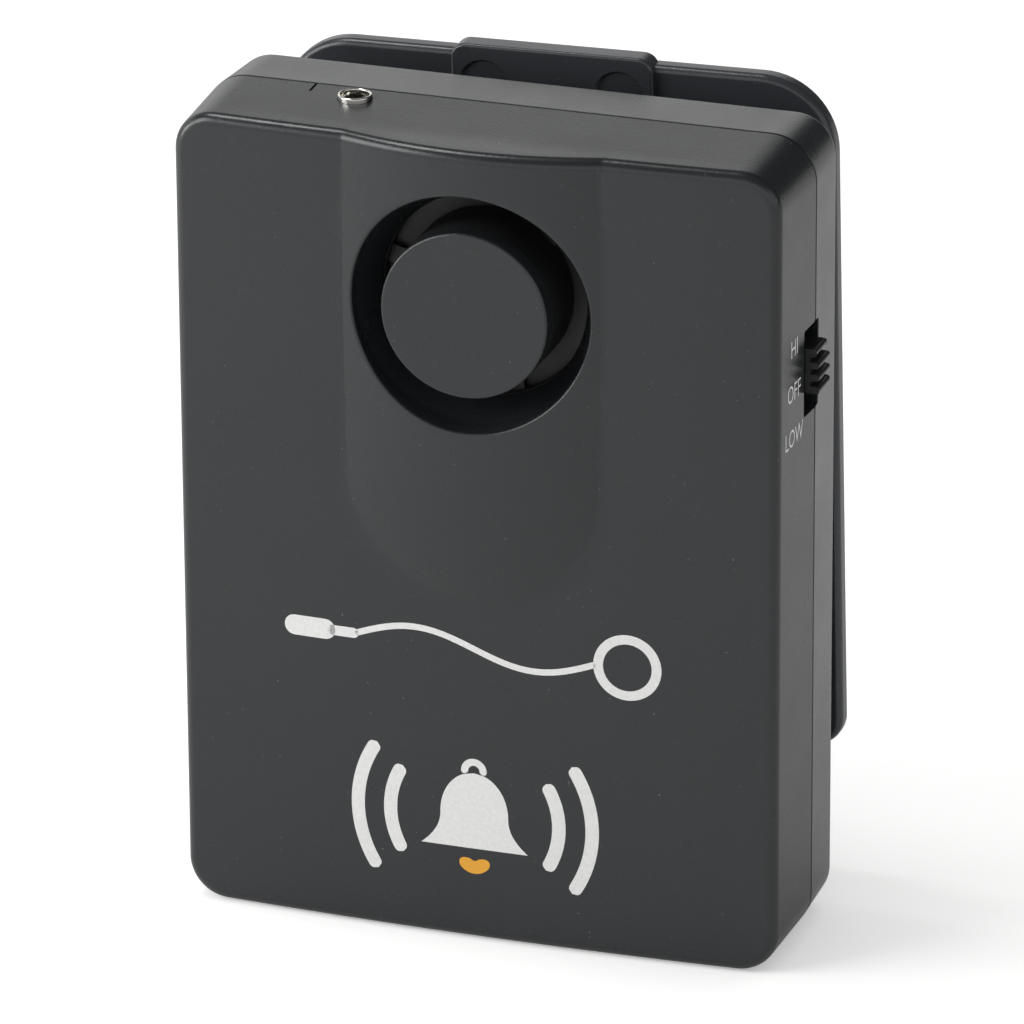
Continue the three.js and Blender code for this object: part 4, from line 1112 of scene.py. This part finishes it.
def arc(middle, radius, from_degrees, to_degrees, width):
    angle = np.radians(np.linspace(from_degrees, to_degrees, 60))
    path = np.stack([middle[0] + radius * np.cos(angle), middle[1] + radius * np.sin(angle)], 1)
    return stroke(path, width)


def loop(middle, radius, width):
    """A closed ring of a stroke's width."""
    angle = np.radians(np.linspace(0, 360, 97))
    way = np.stack([np.cos(angle), np.sin(angle)], 1)
    return patch(middle + way * (radius + width / 2), middle + way * (radius - width / 2))


def wave(start_x, end_x, middle_z, height, width):
    """A stroke along z = middle + height * sin(2 pi share): the cord."""
    share = np.linspace(0, 1, 90)
    path = np.stack([start_x + share * (end_x - start_x),
                     middle_z + height * np.sin(2 * np.pi * share)], 1)
    return stroke(path, width)


def bell():
    """A bell in outline, as half its width over its height: a dome that flares to a lip."""
    height = np.linspace(0, 1, 40)
    dome = np.sqrt(np.clip(1 - ((height - 0.45) / 0.55) ** 2, 0, None))
    upper = 3.3 * np.where(height > 0.45, dome, 1)
    flare = 3.3 + 1.9 * np.clip(1 - height / 0.45, 0, 1) ** 2.2
    half = np.where(height > 0.45, upper, flare)
    z = 12.9 + 7.6 * height
    left = np.stack([-half, z], 1)
    right = np.stack([half, z], 1)
    return patch(left, right)


def on_front(x, z):
    lift = 0.03
    return np.stack([x, front_face_y(x, z) - lift, z], 1)


def on_right_wall(y, z):
    lift = 0.02
    start_y = FRONT_Y + FRONT_EDGE
    inset = FRONT_DRAFT * np.clip((FRONT_RIM_Y - y) / (FRONT_RIM_Y - start_y), 0, 1)
    return np.stack([HALF - inset + lift, y, z], 1)


def lettering(word, size):
    """A word's outline filled, from Blender's own plain typeface, as points and faces about
    its middle."""
    curve = bpy.data.curves.new("lettering", "FONT")
    curve.body = word
    curve.size = size
    curve.align_x = "CENTER"
    curve.align_y = "CENTER"
    curve.resolution_u = 4
    thing = object_of("lettering", curve)
    mesh = evaluated_mesh(thing)
    points = np.array([v.co[:2] for v in mesh.vertices])
    faces = [list(face.vertices) for face in mesh.polygons]
    bpy.data.objects.remove(thing)
    return points, faces


def cord_mark():
    """A pull cord in outline: the pin's grip and tip at the left, the cord in one wave, and
    the pull ring at the right."""
    z = CORD_Z
    grip, tip = straight((-24, z), (-17.5, z), 2.6), straight((-18.5, z), (-14.5, z), 1.3)
    return [grip, tip, wave(-15, 15.4, z, 1.9, 0.8), loop(np.array([19.2, z]), 3.6, 1.2)]


def bell_mark():
    """The bell with its hanger and two sound arcs at each side, and its clapper apart."""
    middle = (0, BELL_Z)
    parts = [bell(), arc((0, BELL_Z + 4.7), 0.9, -20, 200, 0.7)]
    for radius, spread in ((8.2, 32), (11.4, 34)):
        for side in (0, 180):
            parts.append(arc(middle, radius, side - spread, side + spread, 1.3))
    parts.append(arc((0, BELL_Z - 3.9), 1.1, 190, 350, 1.3))
    parts = [(middle + (points - middle) * BELL_SCALE, faces) for points, faces in parts]
    return parts[:-1], parts[-1]


def make_marks():
    bell_parts, clapper = bell_mark()
    printed("front_mark", bell_parts + cord_mark(), on_front, WHITE_INK)
    printed("front_mark_clapper", [clapper], on_front, AMBER_INK)
    for word, z in LABELS:
        points, faces = lettering(word, LABEL_SIZE)
        label = (points * [1.08, 1.3] + [LABEL_Y, z], faces)
        printed(f"label_{word.lower()}", [label], on_right_wall, WHITE_INK)


make_marks()


# Stage

def camera_view():
    """A long lens at 19 degrees to the right and 22 degrees above, turned by a third of a
    degree, whose axis passes close by the case's middle."""
    azimuth, elevation, roll = (math.radians(v) for v in (19.015, 22.353, -0.344))
    back = Vector((
        math.sin(azimuth) * math.cos(elevation),
        -math.cos(azimuth) * math.cos(elevation),
        math.sin(elevation),
    ))
    right = Vector((math.cos(azimuth), math.sin(azimuth), 0))
    up = back.cross(right)
    turned_right = right * math.cos(roll) + up * math.sin(roll)
    turned_up = up * math.cos(roll) - right * math.sin(roll)
    aim = Vector((0, 0, 51)) + turned_right * 0.657 - turned_up * 0.268
    camera = bpy.data.objects.new("camera", bpy.data.cameras.new("camera"))
    camera.data.lens = 316.4
    camera.data.sensor_width = 36
    camera.data.clip_start = 0.1
    camera.data.clip_end = 20
    axes = Matrix((turned_right, turned_up, back)).transposed().to_4x4()
    camera.matrix_world = Matrix.Translation((aim + back * 1075.4) * MM) @ axes
    bpy.context.scene.collection.objects.link(camera)
    bpy.context.scene.camera = camera


def pale_floor():
    """A seamless sheet of pale card, far larger than the case. The camera alone sees it
    lifted a little towards white."""
    size, below, camera_lift = 3.0, 0.0002, 0.35
    corners = [[-size, -size, 0], [size, -size, 0], [size, size, 0], [-size, size, 0]]
    mesh = bpy.data.meshes.new("floor")
    mesh.from_pydata(corners, [], [[0, 1, 2, 3]])
    floor = object_of("floor", mesh)
    floor.location.z = -below
    material, tree, shader, _ = new_material("pale_card", Roughness=0.9)
    shader.inputs["Base Color"].default_value = linear("f4f4f3")
    shader.inputs["Emission Color"].default_value = (1, 1, 1, 1)
    seen = put(tree, "ShaderNodeLightPath").outputs["Is Camera Ray"]
    lift = put(tree, "ShaderNodeMath", {0: seen, 1: camera_lift}, operation="MULTIPLY")
    tree.links.new(lift.outputs[0], shader.inputs["Emission Strength"])
    floor.data.materials.append(material)


def lamp(name, place, size, power):
    data = bpy.data.lights.new(name, "AREA")
    data.shape = "DISK"
    data.size = size
    data.energy = power
    thing = bpy.data.objects.new(name, data)
    thing.location = place
    toward = Vector((0, 0, 0.05)) - Vector(place)
    thing.rotation_euler = toward.to_track_quat("-Z", "Y").to_euler()
    bpy.context.scene.collection.objects.link(thing)


def white_surround():
    """A white studio. The camera sees plain white. Glossy and transmitted rays see the same
    white all round, up to the dark ceiling and the dark end of the room behind on the
    right. The rest of the light is white at a lower strength."""
    world = bpy.data.worlds.new("surround")
    world.use_nodes = True
    tree = world.node_tree
    background = tree.nodes["Background"]
    background.inputs["Color"].default_value = (1, 1, 1, 1)
    ceiling, dark_end, other_light = 0.1, 0.95, 0.62
    ray = put(tree, "ShaderNodeLightPath").outputs
    place = put(tree, "ShaderNodeTexCoord").outputs["Generated"]
    axis = put(tree, "ShaderNodeSeparateXYZ", {0: place}).outputs
    walls = put(tree, "ShaderNodeMapRange", {
        "Value": axis["Z"], "From Min": 0.42, "From Max": 0.6, "To Min": 1.0, "To Max": ceiling,
    }, interpolation_type="SMOOTHSTEP").outputs["Result"]
    right = put(tree, "ShaderNodeMapRange", {
        "Value": axis["X"], "From Min": -0.14, "From Max": 0.08, "To Min": 0.0, "To Max": dark_end,
    }, interpolation_type="SMOOTHSTEP").outputs["Result"]
    behind = put(tree, "ShaderNodeMapRange", {
        "Value": axis["Y"], "From Min": -0.1, "From Max": 0.4,
    }, interpolation_type="SMOOTHSTEP").outputs["Result"]
    corner = put(tree, "ShaderNodeMath", {0: right, 1: behind}, operation="MULTIPLY").outputs[0]
    rest = put(tree, "ShaderNodeMath", {0: 1.0, 1: corner}, operation="SUBTRACT").outputs[0]
    mirrored = put(tree, "ShaderNodeMath", {0: walls, 1: rest}, operation="MULTIPLY").outputs[0]
    shiny = put(tree, "ShaderNodeMath", {
        0: ray["Is Glossy Ray"], 1: ray["Is Transmission Ray"],
    }, operation="MAXIMUM").outputs[0]
    unlit = put(tree, "ShaderNodeMix", {"Factor": shiny, 2: other_light, 3: mirrored}).outputs[0]
    strength = put(tree, "ShaderNodeMix", {
        "Factor": ray["Is Camera Ray"], 2: unlit, 3: 1.0,
    }).outputs[0]
    tree.links.new(strength, background.inputs["Strength"])
    bpy.context.scene.world = world


camera_view()
pale_floor()
white_surround()
lamp("key", (-0.5, -0.42, 0.42), size=0.4, power=2.2)
lamp("overhead", (-0.185, 0.02, 0.5), size=0.15, power=0.55)
lamp("left_strip", (-0.6, -0.25, 0.16), size=0.2, power=1.0)
bpy.context.scene.view_settings.view_transform = "Standard"
